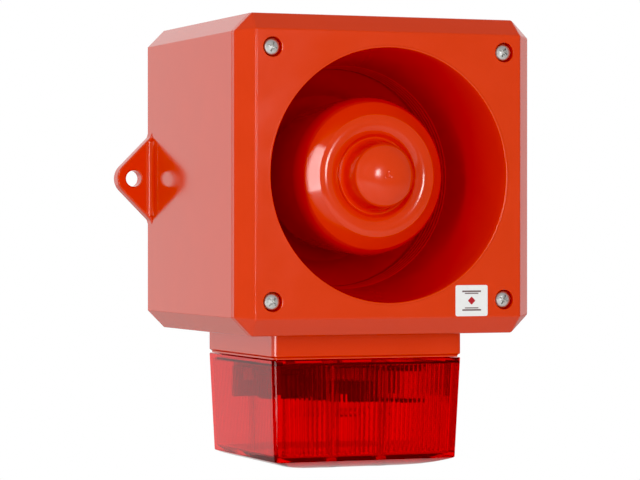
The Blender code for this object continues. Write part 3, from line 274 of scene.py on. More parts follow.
def tube(points, radius, sides=14, steps=6):
    """A round tube along a smooth line."""
    route = smooth_route(points, steps)
    rings = []
    across = None
    for i, point in enumerate(route):
        ahead = (route[min(i + 1, len(route) - 1)] - route[max(i - 1, 0)]).normalized()
        if across is None:
            across = ahead.orthogonal().normalized()
        across = (across - ahead * across.dot(ahead)).normalized()
        other = ahead.cross(across)
        turns = [2 * math.pi * k / sides for k in range(sides)]
        rings.append([point + (across * math.cos(t) + other * math.sin(t)) * radius for t in turns])
    return loft(rings)


def bevel(bm, width, segments=2, angle=30):
    """Rounds the edges that turn by more than angle."""
    sharp = [e for e in bm.edges if len(e.link_faces) == 2 and e.calc_face_angle(0) > math.radians(angle)]
    bmesh.ops.bevel(bm, geom=sharp, offset=width, segments=segments, profile=0.5, affect="EDGES",
                    clamp_overlap=True)
    return bm


def joined(*parts):
    """Several bmeshes as one."""
    whole = bmesh.new()
    for part in parts:
        mesh = bpy.data.meshes.new("part")
        part.to_mesh(mesh)
        part.free()
        whole.from_mesh(mesh)
        bpy.data.meshes.remove(mesh)
    return whole


def tinted(bm, index):
    """Gives all the faces one of the piece's materials."""
    for face in bm.faces:
        face.material_index = index
    return bm


def moved(bm, offset=(0, 0, 0), turn=0.0, axis="Z"):
    bm.transform(Matrix.Translation(Vector(offset)) @ Matrix.Rotation(turn, 4, axis))
    return bm


def boolean(base, tools, operation="DIFFERENCE"):
    """Cuts bmeshes from a bmesh, or joins them to it."""
    made = []
    for bm in (base, *tools):
        mesh = bpy.data.meshes.new("tool")
        bm.to_mesh(mesh)
        bm.free()
        made.append(bpy.data.objects.new("tool", mesh))
        bpy.context.scene.collection.objects.link(made[-1])
    for tool in made[1:]:
        modifier = made[0].modifiers.new("boolean", "BOOLEAN")
        modifier.operation = operation
        modifier.solver = "EXACT"
        modifier.object = tool
    bpy.context.view_layer.update()
    result = bpy.data.meshes.new_from_object(made[0].evaluated_get(bpy.context.evaluated_depsgraph_get()))
    bm = bmesh.new()
    bm.from_mesh(result)
    bmesh.ops.remove_doubles(bm, verts=bm.verts, dist=0.0005)
    bpy.data.meshes.remove(result)
    for tool in made:
        bpy.data.objects.remove(tool, do_unlink=True)
    return bm


def cut(base, *tools):
    return boolean(base, tools)


def fused(base, *tools):
    return boolean(base, tools, "UNION")


# ---------------------------------------------------------------- materials

def mix_colour(nodes, links, factor, first, second):
    """Mixes two colours; the first may be another node's output."""
    node = nodes.new("ShaderNodeMix")
    node.data_type = "RGBA"
    if isinstance(first, tuple):
        node.inputs["A"].default_value = (*first, 1)
    else:
        links.new(first, node.inputs["A"])
    node.inputs["B"].default_value = (*second, 1)
    links.new(factor, node.inputs["Factor"])
    return node.outputs["Result"]


def material(name, colour, roughness, metallic=0.0, grain=500.0, bump=0.15, depth=0.00005, vary=0.08,
             rough_vary=0.06, bands=None, spots=None, cells=None, **sockets):
    """A procedural finish. Grain is the fine noise's scale per metre; bands is (scale, direction, height);
    spots is (scale, threshold, colour); cells is (scale, width, colour)."""
    made = bpy.data.materials.new(name)
    made.use_nodes = True
    nodes = made.node_tree.nodes
    links = made.node_tree.links
    shader = nodes["Principled BSDF"]
    shader.inputs["Metallic"].default_value = metallic
    for socket, value in sockets.items():
        shader.inputs[socket.replace("_", " ")].default_value = value
    place = nodes.new("ShaderNodeTexCoord").outputs["Object"]

    def noise(scale, detail=3.0):
        node = nodes.new("ShaderNodeTexNoise")
        node.inputs["Scale"].default_value = scale
        node.inputs["Detail"].default_value = detail
        links.new(place, node.inputs["Vector"])
        return node.outputs["Fac"]

    fine = noise(grain)
    broad = noise(grain * 0.11, 2.0)
    paler = tuple(min(1.0, c * (1 + vary)) for c in colour)
    darker = tuple(c * (1 - vary) for c in colour)
    tone = mix_colour(nodes, links, broad, darker, paler)
    if spots:
        scale, threshold, spot_colour = spots
        tone = mix_colour(nodes, links, above(nodes, links, noise(scale, 1.0), threshold), tone, spot_colour)
    if cells:
        scale, width, cell_colour = cells
        lines = nodes.new("ShaderNodeTexVoronoi")
        lines.feature = "DISTANCE_TO_EDGE"
        lines.inputs["Scale"].default_value = scale
        links.new(place, lines.inputs["Vector"])
        edge = above(nodes, links, lines.outputs["Distance"], width)
        tone = mix_colour(nodes, links, edge, tone, cell_colour)
    links.new(tone, shader.inputs["Base Color"])
    spread = nodes.new("ShaderNodeMapRange")
    spread.inputs["From Min"].default_value = 0.3
    spread.inputs["From Max"].default_value = 0.7
    spread.inputs["To Min"].default_value = max(0.02, roughness - rough_vary)
    spread.inputs["To Max"].default_value = roughness + rough_vary
    links.new(broad, spread.inputs["Value"])
    links.new(spread.outputs["Result"], shader.inputs["Roughness"])
    relief = nodes.new("ShaderNodeBump")
    relief.inputs["Strength"].default_value = bump
    relief.inputs["Distance"].default_value = depth
    links.new(fine, relief.inputs["Height"])
    normal = relief.outputs["Normal"]
    if bands:
        normal = banded(nodes, links, place, bands, normal)
    links.new(normal, shader.inputs["Normal"])
    return made


def above(nodes, links, value, threshold):
    """A soft step: 1 where the value is above the threshold."""
    step = nodes.new("ShaderNodeMapRange")
    step.inputs["From Min"].default_value = threshold - 0.02
    step.inputs["From Max"].default_value = threshold + 0.02
    links.new(value, step.inputs["Value"])
    return step.outputs["Result"]


def banded(nodes, links, place, bands, normal):
    """Fine parallel ridges, such as windings, laminations or a turned finish."""
    scale, direction, height = bands
    wave = nodes.new("ShaderNodeTexWave")
    if direction == "rings":
        wave.wave_type = "RINGS"
        wave.rings_direction = "Y"
    else:
        wave.bands_direction = direction
    wave.inputs["Scale"].default_value = scale
    wave.inputs["Distortion"].default_value = 0.4
    wave.inputs["Detail"].default_value = 1.0
    links.new(place, wave.inputs["Vector"])
    relief = nodes.new("ShaderNodeBump")
    relief.inputs["Strength"].default_value = 0.5
    relief.inputs["Distance"].default_value = height
    links.new(wave.outputs["Fac"], relief.inputs["Height"])
    links.new(normal, relief.inputs["Normal"])
    return relief.outputs["Normal"]


def see_through(made, tint):
    """Lets lamps shine through clear plastic, tinted, so that what is inside is lit."""
    nodes = made.node_tree.nodes
    links = made.node_tree.links
    path = nodes.new("ShaderNodeLightPath")
    clear = nodes.new("ShaderNodeBsdfTransparent")
    clear.inputs["Color"].default_value = (*tint, 1)
    mix = nodes.new("ShaderNodeMixShader")
    links.new(path.outputs["Is Shadow Ray"], mix.inputs["Fac"])
    links.new(nodes["Principled BSDF"].outputs["BSDF"], mix.inputs[1])
    links.new(clear.outputs["BSDF"], mix.inputs[2])
    links.new(mix.outputs["Shader"], nodes["Material Output"].inputs["Surface"])


RED = material("red_plastic", (0.80, 0.055, 0.009), 0.13, grain=420, bump=0.10, depth=0.00003, vary=0.035,
               rough_vary=0.035, Specular_IOR_Level=0.7)
LENS_RED = material("red_lens", (0.84, 0.001, 0.001), 0.04, grain=300, bump=0.04, depth=0.00003, vary=0.01,
                    rough_vary=0.02, Transmission_Weight=0.95, IOR=1.30)
see_through(LENS_RED, (0.9, 0.01, 0.01))
STEEL = material("stainless_steel", (0.86, 0.85, 0.83), 0.36, 1.0, grain=1500, bump=0.2, vary=0.05)
ZINC = material("zinc_plate", (0.62, 0.63, 0.66), 0.36, 1.0, grain=900, bump=0.3, vary=0.12)
LAMINATION = material("laminated_steel", (0.34, 0.34, 0.36), 0.42, 1.0, grain=900, bump=0.3, vary=0.2,
                      bands=(600, "Z", 0.0002))
BRASS = material("brass", (0.78, 0.56, 0.25), 0.3, 1.0, grain=1200, bump=0.3, bands=(420, "DIAGONAL", 0.0002))
TIN = material("tin_solder", (0.72, 0.73, 0.74), 0.3, 1.0, grain=1600, bump=0.3)
COPPER = material("copper_winding", (0.72, 0.27, 0.12), 0.34, 1.0, grain=900, bump=0.1,
                  bands=(900, "Y", 0.0001))
FERRITE = material("ferrite", (0.055, 0.055, 0.06), 0.55, grain=1800, bump=0.7, vary=0.3,
                   spots=(2600, 0.66, (0.16, 0.16, 0.17)))
RUBBER = material("black_rubber", (0.022, 0.022, 0.022), 0.72, grain=1400, bump=0.5, vary=0.25)
LABEL = material("label_film", (0.96, 0.96, 0.94), 0.32, grain=700, bump=0.05, vary=0.01)
INK_RED = material("ink_red", (0.55, 0.02, 0.03), 0.4, grain=1500, bump=0.1)
INK_GREY = material("ink_grey", (0.20, 0.13, 0.13), 0.45, grain=1500, bump=0.1)
BOARD = material("board_green", (0.012, 0.11, 0.045), 0.28, grain=1200, bump=0.15, vary=0.15,
                 cells=(150, 0.07, (0.02, 0.17, 0.07)))
BLACK = material("black_plastic", (0.024, 0.024, 0.026), 0.42, grain=1700, bump=0.4, vary=0.2)
BLUE = material("blue_plastic", (0.02, 0.09, 0.42), 0.33, grain=900, bump=0.1)
GREEN = material("green_plastic", (0.035, 0.32, 0.10), 0.38, grain=1300, bump=0.3)
WHITE = material("white_plastic", (0.80, 0.79, 0.75), 0.38, grain=1300, bump=0.2, vary=0.03)
SWITCH_RED = material("switch_red", (0.55, 0.02, 0.02), 0.36, grain=1300, bump=0.2)
TAPE = material("winding_tape", (0.75, 0.55, 0.10), 0.35, grain=900, bump=0.2, bands=(120, "Z", 0.0001))
FILM = material("diaphragm_film", (0.62, 0.42, 0.16), 0.3, grain=800, bump=0.1, bands=(700, "rings", 0.0001),
                Coat_Weight=0.3)
GLASS = material("flash_glass", (0.94, 0.96, 0.97), 0.03, grain=400, bump=0.03, vary=0.01, rough_vary=0.01,
                 Transmission_Weight=1.0, IOR=1.46)
see_through(GLASS, (0.92, 0.94, 0.95))
WIRE_RED = material("wire_red", (0.55, 0.012, 0.012), 0.38, grain=1500, bump=0.15)
WIRE_BLACK = material("wire_black", (0.018, 0.018, 0.018), 0.38, grain=1500, bump=0.15)
# Dark grey for the wall behind the strobe parts: painted shade.
SHADE_GREY = material("shade_grey_plastic", (0.13, 0.13, 0.13), 0.5, grain=1500, bump=0.3)
CERAMIC = material("chip_resistor", (0.05, 0.05, 0.055), 0.4, grain=1800, bump=0.2)
TAN = material("chip_capacitor", (0.42, 0.27, 0.15), 0.4, grain=1800, bump=0.2)


def piece(name, bm, finishes, body, slot, *nodes, sharp=35):
    """Makes a bmesh into a piece of the object that rides on a CAD body and stands for CAD nodes."""
    bmesh.ops.scale(bm, vec=(MM, MM, MM), verts=bm.verts)
    mesh = bpy.data.meshes.new(name)
    bm.to_mesh(mesh)
    bm.free()
    for finish in finishes if isinstance(finishes, tuple) else (finishes,):
        mesh.materials.append(finish)
    mesh.shade_smooth()
    mesh.set_sharp_from_angle(angle=math.radians(sharp))
    made = bpy.data.objects.new(name, mesh)
    bpy.context.scene.collection.objects.link(made)
    weighted = made.modifiers.new("normals", "WEIGHTED_NORMAL")
    weighted.keep_sharp = True
    bpy.context.view_layer.update()
    made.data = bpy.data.meshes.new_from_object(made.evaluated_get(bpy.context.evaluated_depsgraph_get()))
    made.data.name = name
    made.modifiers.clear()
    bpy.data.meshes.remove(mesh)
    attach(made, body)
    if nodes:
        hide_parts(*nodes)


def stand_in(node, part, bm, finishes, sharp=35):
    """A piece in place of one CAD node, named after it and on its body."""
    piece(f"{node}_{part}", bm, finishes, BODIES[node], SLOTS[node], node, sharp=sharp)


# ---------------------------------------------------------------- rear housing

LUG_HOLE_X = 93.5
LUG_FRONT = -8.5


def lug_solid(side):
    """A lozenge lug, round about its hole, whose front sweeps into the side wall."""
    root = HALF
    tip = 9.5
    reach = LUG_HOLE_X - root
    spread = math.atan2(23.0, -reach) - math.acos(tip / math.hypot(reach, 23.0))
    points = [(root - 2, -26, 0), (root, -26, 0), (root + 0.9, -23, 2)]
    points += [(LUG_HOLE_X + tip * math.cos(a), tip * math.sin(a), 0)
               for a in [-spread + 2 * spread * k / 24 for k in range(25)]]
    points += [(root + 0.9, 23, 2), (root, 26, 0), (root - 2, 26, 0)]
    outline = [Vector((side * p.x, p.y)) for p in rounded(points, 0.0)]
    plate = slab(outline, LUG_FRONT, -0.15, "y", edge=1.1, steps=4)
    sweep = [(root - 2, -15.0), (root, -12.6)]
    sweep += [(root + 4.1 * (1 - math.cos(a)), LUG_FRONT - 4.1 * (1 - math.sin(a)))
              for a in [math.radians(90 * k / 10) for k in range(11)]]
    sweep += [(root + 4.1, LUG_FRONT + 2), (root - 2, LUG_FRONT + 2)]
    gusset = slab([Vector((side * x, y)) for x, y in sweep], -20.6, 20.6, "z")
    trim = slab(inset(outline, 0.9), -30, 10, "y")
    gusset = boolean(gusset, [trim], "INTERSECT")
    lug = fused(plate, gusset)
    hole = lathe([(0, 20), (4.5, 20), (4.5, 0.9), (5.3, 0.1), (5.3, -3), (0, -3)],
                 (side * LUG_HOLE_X, LUG_FRONT, 0), BACK, 40)
    return cut(lug, hole)


def make_rear_housing():
    front = D(12.35)
    shell = slab(octagon(HALF, 0, 0.7), front, 0, "y", edge=0.45, steps=2)
    cuts = [
        slab(octagon(HALF - WALL, WALL, 1.0), front - 3, D(16.65), "y"),
        slab(octagon(76.5, 6.5, 1.0), D(14), D(22), "y"),
        slab(octagon(HALF - WALL, WALL, 2.0), D(20.05), D(148.5), "y", edge=1.4),
    ]
    bosses = []
    for side_x, side_z in CORNERS.values():
        x = side_x * SCREW_AT
        z = side_z * SCREW_AT
        bosses.append(rod((x, D(17), z), BACK, 35, 6.4, 32, 0.4, 6.9))
        rib = block((0, 0, -2.3), (16.5, 34, 2.3), "z", edge=0.3)
        bosses.append(moved(rib, (x, D(17.6), z), -math.atan2(side_z, side_x), "Y"))
        bosses.append(rod(board_corner(side_x, side_z, 138.3), BACK, 12, 3.4, 24, 0.3, 4.0))
    holes = [rod((side_x * SCREW_AT, D(15), side_z * SCREW_AT), BACK, 24, 4.1, 24)
             for side_x, side_z in CORNERS.values()]
    for z in ENTRIES.values():
        holes.append(rod((HALF - 6, D(ENTRY_DEPTH), z), RIGHT, 8, 10.6, 48))
        holes.append(rod((HALF - 0.5, D(ENTRY_DEPTH), z), RIGHT, 3, 13.8, 64))
    holes.append(rod((0, D(81), -HALF + 6), DOWN, 8, 9, 32))
    for x in (-38, 38):
        holes.append(rod((x, D(81), -HALF + 6), DOWN, 8, 2.4, 20))
    for x in (-36, 36):
        for z in (-36, 36):
            holes.append(slab(rect((x, z), (31, 31), 5), -1.1, 3, "y"))
    shell = cut(shell, *cuts)
    shell = fused(shell, *bosses)
    shell = fused(shell, lug_solid(-1), lug_solid(1))
    shell = cut(shell, *holes)
    stand_in("rear_housing", "shell", shell, RED)


def make_inserts_and_gasket():
    for name, (side_x, side_z) in CORNERS.items():
        start = (side_x * SCREW_AT, D(17.3), side_z * SCREW_AT)
        profile = [(2.4, 0), (3.5, 0), (3.5, -4), (3.1, -4.4), (3.1, -6.4), (3.5, -6.8), (3.5, -11),
                   (2.4, -11)]
        stand_in(f"screw_insert_{name}", "brass", lathe(profile, start, count=40, radius=0.15), BRASS)
    outer = octagon(79.1, 3.9, 1.2)
    middle = octagon(76.9, 6.1, 1.2)
    gasket = cut(slab(outer, D(14.5), D(16.3), "y", edge=0.5), slab(middle, D(12), D(18), "y"))
    stand_in("cover_gasket", "seal", gasket, RUBBER)


def make_entries():
    """Stopping plugs: a slotted head with a scalloped edge, on a flat seal."""
    for name, z in ENTRIES.items():
        face = (HALF - 0.5, D(ENTRY_DEPTH), z)
        seal = lathe([(10.3, 0.3), (12.5, 0.3), (12.5, 1.9), (10.3, 1.9)], face, RIGHT, 64, 0.3)
        stand_in(f"entry_seal_{name}", "ring", seal, RUBBER)
        threads = []
        for k in range(5):
            threads += [(9.7, 0.2 - 1.6 * k), (8.9, -0.6 - 1.6 * k)]
        profile = [(0, 5.6), (9.6, 5.6), (9.9, 5.1), (11.7, 5.1, 0.5), (12.9, 4.3, 0.6), (13, 2.2),
                   (9.7, 2.2)]
        plug = lathe(profile + threads + [(8.6, -8.5), (0, -8.5)], face, RIGHT, 72, 0.25)
        slot = block((face[0] + 4.0, face[1] - 9, z - 1.2), (face[0] + 9, face[1] + 9, z + 1.2), "x", 1.1)
        scallops = []
        for k in range(24):
            t = 2 * math.pi * k / 24
            at = (face[0] + 1.4, face[1] + 14.1 * math.cos(t), z + 14.1 * math.sin(t))
            scallops.append(rod(at, RIGHT, 6, 1.5, 12))
        stand_in(f"entry_plug_{name}", "head", cut(plug, slot, *scallops), BLACK)


# ---------------------------------------------------------------- front cover

LABEL_CENTRE = (46.2, -65.5)
LABEL_HALF = (9.25, 8.15)
LIP_RADIUS = 67.4


def hull(rings):
    """The convex hull of square rings, each (half width, corner cut, depth)."""
    bm = bmesh.new()
    for half, corner, depth in rings:
        for side_x in (-1, 1):
            for side_z in (-1, 1):
                for near_x, near_z in ((corner, 0), (0, corner)):
                    bm.verts.new((side_x * (half - near_x), D(depth), side_z * (half - near_z)))
    bmesh.ops.remove_doubles(bm, verts=bm.verts, dist=0.01)
    bmesh.ops.convex_hull(bm, input=bm.verts)
    bmesh.ops.dissolve_limit(bm, angle_limit=math.radians(1), verts=bm.verts, edges=bm.edges)
    return bm


def make_front_cover():
    cover = bevel(hull([(74.25, 0, 0), (HALF, CORNER_CUT, 9.1), (HALF, CORNER_CUT, 12.05)]), 0.6, 3, 15)
    inner = HALF - WALL
    pocket = hull([(72.9, 0, 3.2), (inner, CORNER_CUT - WALL * 0.586, 10.1),
                   (inner, CORNER_CUT - WALL * 0.586, 16)])
    tongue = cut(slab(octagon(79.2, 3.8, 1.0), D(10.6), D(14.1), "y", edge=0.3),
                 slab(octagon(76.8, 6.2, 1.0), D(8), D(16), "y"))
    root = cut(slab(octagon(79.9, 3.1, 1.0), D(10.6), D(12.05), "y"),
               slab(octagon(76.8, 6.2, 1.0), D(8), D(16), "y"))
    bosses = []
    holes = []
    for side_x, side_z in CORNERS.values():
        x = side_x * SCREW_AT
        z = side_z * SCREW_AT
        bosses.append(rod((x, D(1.6), z), BACK, 15.1, 7.5, 40, 0.3))
        counterbore = [(0, 3), (5.8, 3), (5.4, 0), (5.2, -0.15), (5.2, -3.9), (2.7, -3.9), (2.7, -22),
                       (0, -22)]
        holes.append(lathe(counterbore, (x, D(0), z), count=64))
    for k in range(4):
        rib = block((-1, D(2.6), 69), (1, D(9), 76.2), "y")
        bosses.append(moved(rib, turn=math.radians(90 * k), axis="Y"))
    mouth = lathe([(0, 3), (LIP_RADIUS + 0.02, 3), (LIP_RADIUS + 0.02, -12), (0, -12)], count=160)
    sticker = slab(rect(LABEL_CENTRE, (LABEL_HALF[0] + 0.05, LABEL_HALF[1] + 0.05), 1.25), D(-2), D(0.3), "y")
    cover = fused(cut(cover, pocket), tongue, root)
    cover = cut(fused(cover, *bosses), mouth, sticker, *holes)
    stand_in("front_cover", "shell", cover, RED)


def cross_recess(width, depth):
    """A driver recess: four tapering wings and four finer ones between them, open along +Z from 0 down."""
    wings = []
    for k in range(4):
        for reach, half, deep, offset in ((1.0, 0.165, 1.0, 0), (0.62, 0.07, 0.8, 45)):
            top = rect((width * reach / 2, 0), (width * reach / 2, width * half), 0)
            low = rect((width * reach * 0.36, 0), (width * reach * 0.36, width * half * 0.6), 0)
            wing = loft([[(p.x, p.y, -depth * deep) for p in low], [(p.x, p.y, 0) for p in top],
                         [(p.x, p.y, depth) for p in top]])
            wings.append(moved(wing, turn=math.radians(90 * k + offset)))
    cone = lathe([(0, depth), (width * 0.34, depth), (width * 0.34, 0), (width * 0.2, -depth), (0, -depth)],
                 (0, 0, 0), UP, 24)
    return [cone] + wings


def screw(head_radius, head_height, shank_radius, length, pitch=0.8):
    """A pan-head screw standing on its underside at the origin, its shank along -Z."""
    flat = head_radius * 0.42
    dome = [(head_radius * math.sin(math.radians(a)) * 0.985,
             head_height * (0.34 + 0.66 * math.cos(math.radians(a)))) for a in range(16, 91, 8)]
    profile = [(0, head_height * 0.985), (flat * 0.6, head_height * 0.98)] + dome
    height = -length * 0.3
    profile += [(head_radius, head_height * 0.22), (head_radius * 0.975, 0), (shank_radius, 0),
                (shank_radius, height)]
    while height - pitch > -length:
        profile += [(shank_radius, height - 0.15 * pitch), (shank_radius * 0.8, height - 0.6 * pitch)]
        height -= pitch
    profile += [(shank_radius * 0.7, -length), (0, -length)]
    body = lathe(profile, (0, 0, 0), UP, 48)
    recess = cross_recess(head_radius * 0.56, head_height * 0.55)
    return cut(body, *[moved(tool, (0, 0, head_height * 0.93)) for tool in recess])


def make_screw(node, sizes, seat, axis, turn):
    """A screw in place of a CAD node, its head's underside at seat and its head towards axis."""
    bm = screw(*sizes)
    turned = turn_to(axis) @ Matrix.Rotation(math.radians(turn), 4, "Z")
    bm.transform(Matrix.Translation(Vector(seat)) @ turned)
    stand_in(node, "head", bm, STEEL)


def make_cover_screws():
    turns = {"upper_left": -18, "upper_right": -25, "lower_left": -40, "lower_right": -25}
    for name, (side_x, side_z) in CORNERS.items():
        seat = (side_x * SCREW_AT, D(3.6), side_z * SCREW_AT)
        make_screw(f"cover_screw_{name}", (4.75, 3.0, 2.0, 24), seat, FRONT, turns[name])


def make_label():
    """A plain film label; the print is blank bars and a plain square mark, with no lettering."""
    film = slab(rect(LABEL_CENTRE, LABEL_HALF, 1.2), D(0.04), D(0.3), "y", edge=0.04)
    stand_in("front_label", "film", film, LABEL)
    marks = []
    x, z = LABEL_CENTRE
    for offset in (4.9, -4.9):
        marks.append(tinted(slab(rect((x, z + offset), (5.4, 0.42), 0.2), D(0.01), D(0.06), "y"), 0))
        marks.append(tinted(slab(rect((x, z + offset * 0.78), (3.9, 0.28), 0.15), D(0.01), D(0.06), "y"), 0))
    quarters = [math.pi / 2 * k for k in range(4)]
    diamond = [Vector((x + 2.2 * math.cos(t), z + 2.2 * math.sin(t))) for t in quarters]
    marks.append(tinted(slab(rounded(diamond, 0.5), D(0.01), D(0.06), "y"), 1))
    piece("front_label_print", joined(*marks), (INK_GREY, INK_RED), "cover", "label_film")


# ---------------------------------------------------------------- horn

def make_bell():
    inner = [(66.3, 0.0, 0.9), (64.9, 6, 8), (62.1, 30), (60.6, 58), (60.3, 62.5)]
    for k in range(5):
        depth = 64 + 3.2 * k
        groove = 59.75 - 0.16 * k
        inner += [(60.25 - 0.16 * k, depth, 0.1), (groove, depth + 0.5, 0.1), (groove, depth + 1.2, 0.1)]
    inner += [(59.2, 82, 2), (51, 90, 6), (45.5, 97, 3), (38, 100, 4), (15.5, 100)]
    outer = [(15.5, 102.5), (40, 102.5, 3), (53, 92, 4), (61.7, 83.1, 3), (64.3, 30), (67.3, 6),
             (71.4, 6, 0.3), (71.4, 3.5, 0.3), (LIP_RADIUS, 3.5), (LIP_RADIUS, 0.02, 0.1)]
    bell = horn_lathe(inner + outer, 180, 0.25, steps=4)
    stand_in("horn_bell", "skin", bell, RED, sharp=40)


CAP_DOME_RADIUS = 16.9
CAP_DOME_FRONT = 3.3
CAP_DOME_RISE = 4.6
RING_CENTRE = (28, 33)
RING_RADIUS = (14, 15.7)
FLANK = ((32.3, 18.05), (38.7, 22.87))    # the ring's conical outer flank, as (radius, depth)


def cap_profile():
    """From the apex of the domed middle, over the crest ring, to the rear edge."""
    points = []
    for k in range(15):
        share = 0.93 * k / 14
        drop = CAP_DOME_RISE * (share ** 2 + share ** 4) / 2
        points.append((CAP_DOME_RADIUS * share, CAP_DOME_FRONT + drop))
    points += [(16.7, 8.0, 1.8), (17.4, 13, 6), (18.4, 19, 4), (20, 21.5, 3)]
    (near, near_depth), (far, far_depth) = FLANK
    ring = []
    for k in range(34):
        a = math.radians(115 - 115 * k / 33)
        ring.append((RING_CENTRE[0] + RING_RADIUS[0] * math.cos(a),
                     RING_CENTRE[1] - RING_RADIUS[1] * math.sin(a)))
    points += [point for point in ring if point[0] <= near]
    points += [(near + (far - near) * step / 6, near_depth + (far_depth - near_depth) * step / 6)
               for step in range(7)]
    points += [point for point in ring if point[0] >= far]
    return points + [(41.6, 45, 6), (39.5, 78, 0.6)]


def make_cap():
    inner = [(37, 78, 0.6), (39.1, 45, 4), (39.5, 33, 6), (37, 25, 5), (32, 20.6, 5), (27, 19.9, 4),
             (23.3, 21.6, 2), (20.5, 24.2, 2), (17, 22, 2), (14.8, 11, 4), (13.2, 8.8, 2), (8, 7.3), (0, 6.3)]
    cap = horn_lathe(cap_profile() + inner, 160, 0.2, steps=5)
    gate = [horn_lathe([(0, 1), (1.5, 1), (1.2, 3.75), (0, 3.85)], 24)]
    for k in range(3):
        turn = math.radians(90 + 120 * k)
        gate.append(lathe([(0, 3), (1.0, 3), (0.8, 0.35), (0, 0.25)],
                          (1.9 * math.cos(turn), D(3.95), 1.9 * math.sin(turn)), count=20))
    stand_in("horn_cap", "skin", cut(cap, *gate), RED, sharp=45)


def make_throat():
    profile = [(19.5, 36, 0.6), (21.5, 36, 0.6), (17, 60, 8), (15, 84, 8), (15, 102.8, 1.5), (30, 102.8),
               (30, 105.8), (8, 105.8, 0.8), (9.5, 84, 8), (13.5, 60, 8)]
    throat = horn_lathe(profile, 96, 0.3, steps=5)
    fins = []
    for k in range(3):
        fin = block((12.5, D(66), -1.2), (36.8, D(76), 1.2), "x", 0.5, 0.0)
        fins.append(moved(fin, turn=math.radians(90 + 120 * k), axis="Y"))
    bore = horn_lathe([(0, 50), (15.0, 50), (13.5, 60), (9.5, 84), (0, 84)], 96)
    throat = cut(fused(throat, *fins), bore)
    stand_in("horn_throat", "tube", throat, RED)


# ---------------------------------------------------------------- compression driver

def make_driver():
    front = 106.1
    dome = [(0, front + 0.9), (4, front + 1.05), (7, front + 1.5), (10.5, front + 2.6), (12, front + 3.0),
            (13, front + 2.6), (14.2, front + 2.6), (15, front + 3.0), (20, front + 3.0), (20, front + 3.5),
            (15, front + 3.5), (14.2, front + 3.1), (13, front + 3.1), (12, front + 3.5),
            (10.5, front + 3.1), (7, front + 2.0), (4, front + 1.55), (0, front + 1.4)]
    stand_in("diaphragm", "skin", horn_lathe(dome, 96, 0.2), FILM)
    coil_front = front + 4.35
    stand_in("voice_coil", "winding", horn_ring(13, 14.2, coil_front, coil_front + 6, 0.2), COPPER)
    plate = front + 5.2
    stand_in("top_plate", "steel", horn_ring(14.9, 33, plate, plate + 3.2, 0.3), ZINC)
    magnet = plate + 3.5
    stand_in("ring_magnet", "ferrite", horn_ring(19, 34, magnet, magnet + 7.5, 0.5), FERRITE)
    base = magnet + 7.8
    pole = plate + 0.4
    rear = base + 3.2
    profile = [(0, pole), (12.4, pole), (12.4, base), (33, base), (33, rear), (0, rear)]
    stand_in("back_plate", "steel", horn_lathe(profile, 96, 0.3), ZINC)
    can = [(30.3, front - 2.8), (36.5, front - 2.8), (36.5, front + 1), (35.9, front + 1.4), (35.9, 124.5),
           (36.5, 125), (36.5, 127, 1.5), (34.5, 129, 1.5), (24, 129), (23.5, 128.5), (13, 128.5),
           (12.5, 129), (0, 129), (0, 127), (34.5, 127), (34.5, front + 4.6), (21, front + 4.6), (21, front),
           (30.3, front)]
    can = horn_lathe(can, 96, 0.3)
    holes = [rod((x, D(123), -20), BACK, 10, 1.3, 20) for x in (-5, 5)]
    ribs = []
    for k in range(12):
        rib = block((35.2, D(108), -0.7), (36.45, D(124), 0.7), "x", 0.3)
        ribs.append(moved(rib, turn=math.radians(15 + 30 * k), axis="Y"))
    stand_in("driver_can", "shell", cut(fused(can, *ribs), *holes), BLACK)
    make_driver_leads()


def make_driver_leads():
    """Two wires from the can to the plug, along the same route as the CAD's."""
    for name, side, finish in (("red", -1, WIRE_RED), ("black", 1, WIRE_BLACK)):
        x = side * 5
        end_x = side * 2
        points = [(x, D(128), -20), (x, D(131.6), -22), (x, D(132.4), -30), (x, D(129.4), -38),
                  (end_x, D(118), -44), (end_x, D(118.5), -49), (end_x, D(124.7), -50)]
        stand_in(f"driver_lead_{name}", "wire", tube(points, 0.8, 16), finish)
    plug = cut(depth_block(0, -50, 3.6, 1.8, 125, 134.4, 0.4, 0.2),
               *[depth_block(x, -50, 0.75, 0.75, 120, 127) for x in (-2, 2)],
               depth_block(0, -47.8, 2.6, 0.8, 127, 131))
    stand_in("driver_plug", "shell", plug, WHITE)


# ---------------------------------------------------------------- circuit board

BOARD_FRONT = 136.4
SEAT = BOARD_FRONT - 0.3            # parts sit a hair off the board


def make_board():
    board = slab(rect((0, 0), (70, 66), 1.2), D(BOARD_FRONT), D(BOARD_FRONT + 1.6), "y", edge=0.1)
    corners = [(side_x * BOARD_SCREW_AT[0], side_z * BOARD_SCREW_AT[1])
               for side_x, side_z in ((-1, 1), (1, -1), (1, 1), (-1, -1))]
    holes = [rod((x, D(134), z), BACK, 6, 1.8, 24) for x, z in corners]
    stand_in("main_board", "laminate", cut(board, *holes), BOARD)
    shine = []
    front = D(BOARD_FRONT)

    def pad(x, z, radius=0.9):
        joint = [(0, 0.16), (0.35, 0.15), (radius * 0.8, 0.05), (radius, 0.0), (radius, -0.02), (0, -0.02)]
        shine.append(lathe(joint, (x, front, z), count=14))

    for x, z in corners:
        shine.append(lathe([(1.8, 0.04), (4.4, 0.04), (4.4, -0.02), (1.8, -0.02)], (x, front, z), count=32))
    for x, z in ((-30, 22), (-24, 22), (-30, 8), (-24, 8), (30, 12), (34, 12), (30, -4), (34, -4),
                 (-34, -54), (-28, -54)):
        pad(x, z)
    for k in range(8):
        pad(-28 + 2.54 * k, -30, 0.8)
        pad(8 + 2.54 * k, 36, 0.8)
    piece("main_board_pads", joined(*shine), TIN, "housing", "stainless_steel")
    make_small_parts()


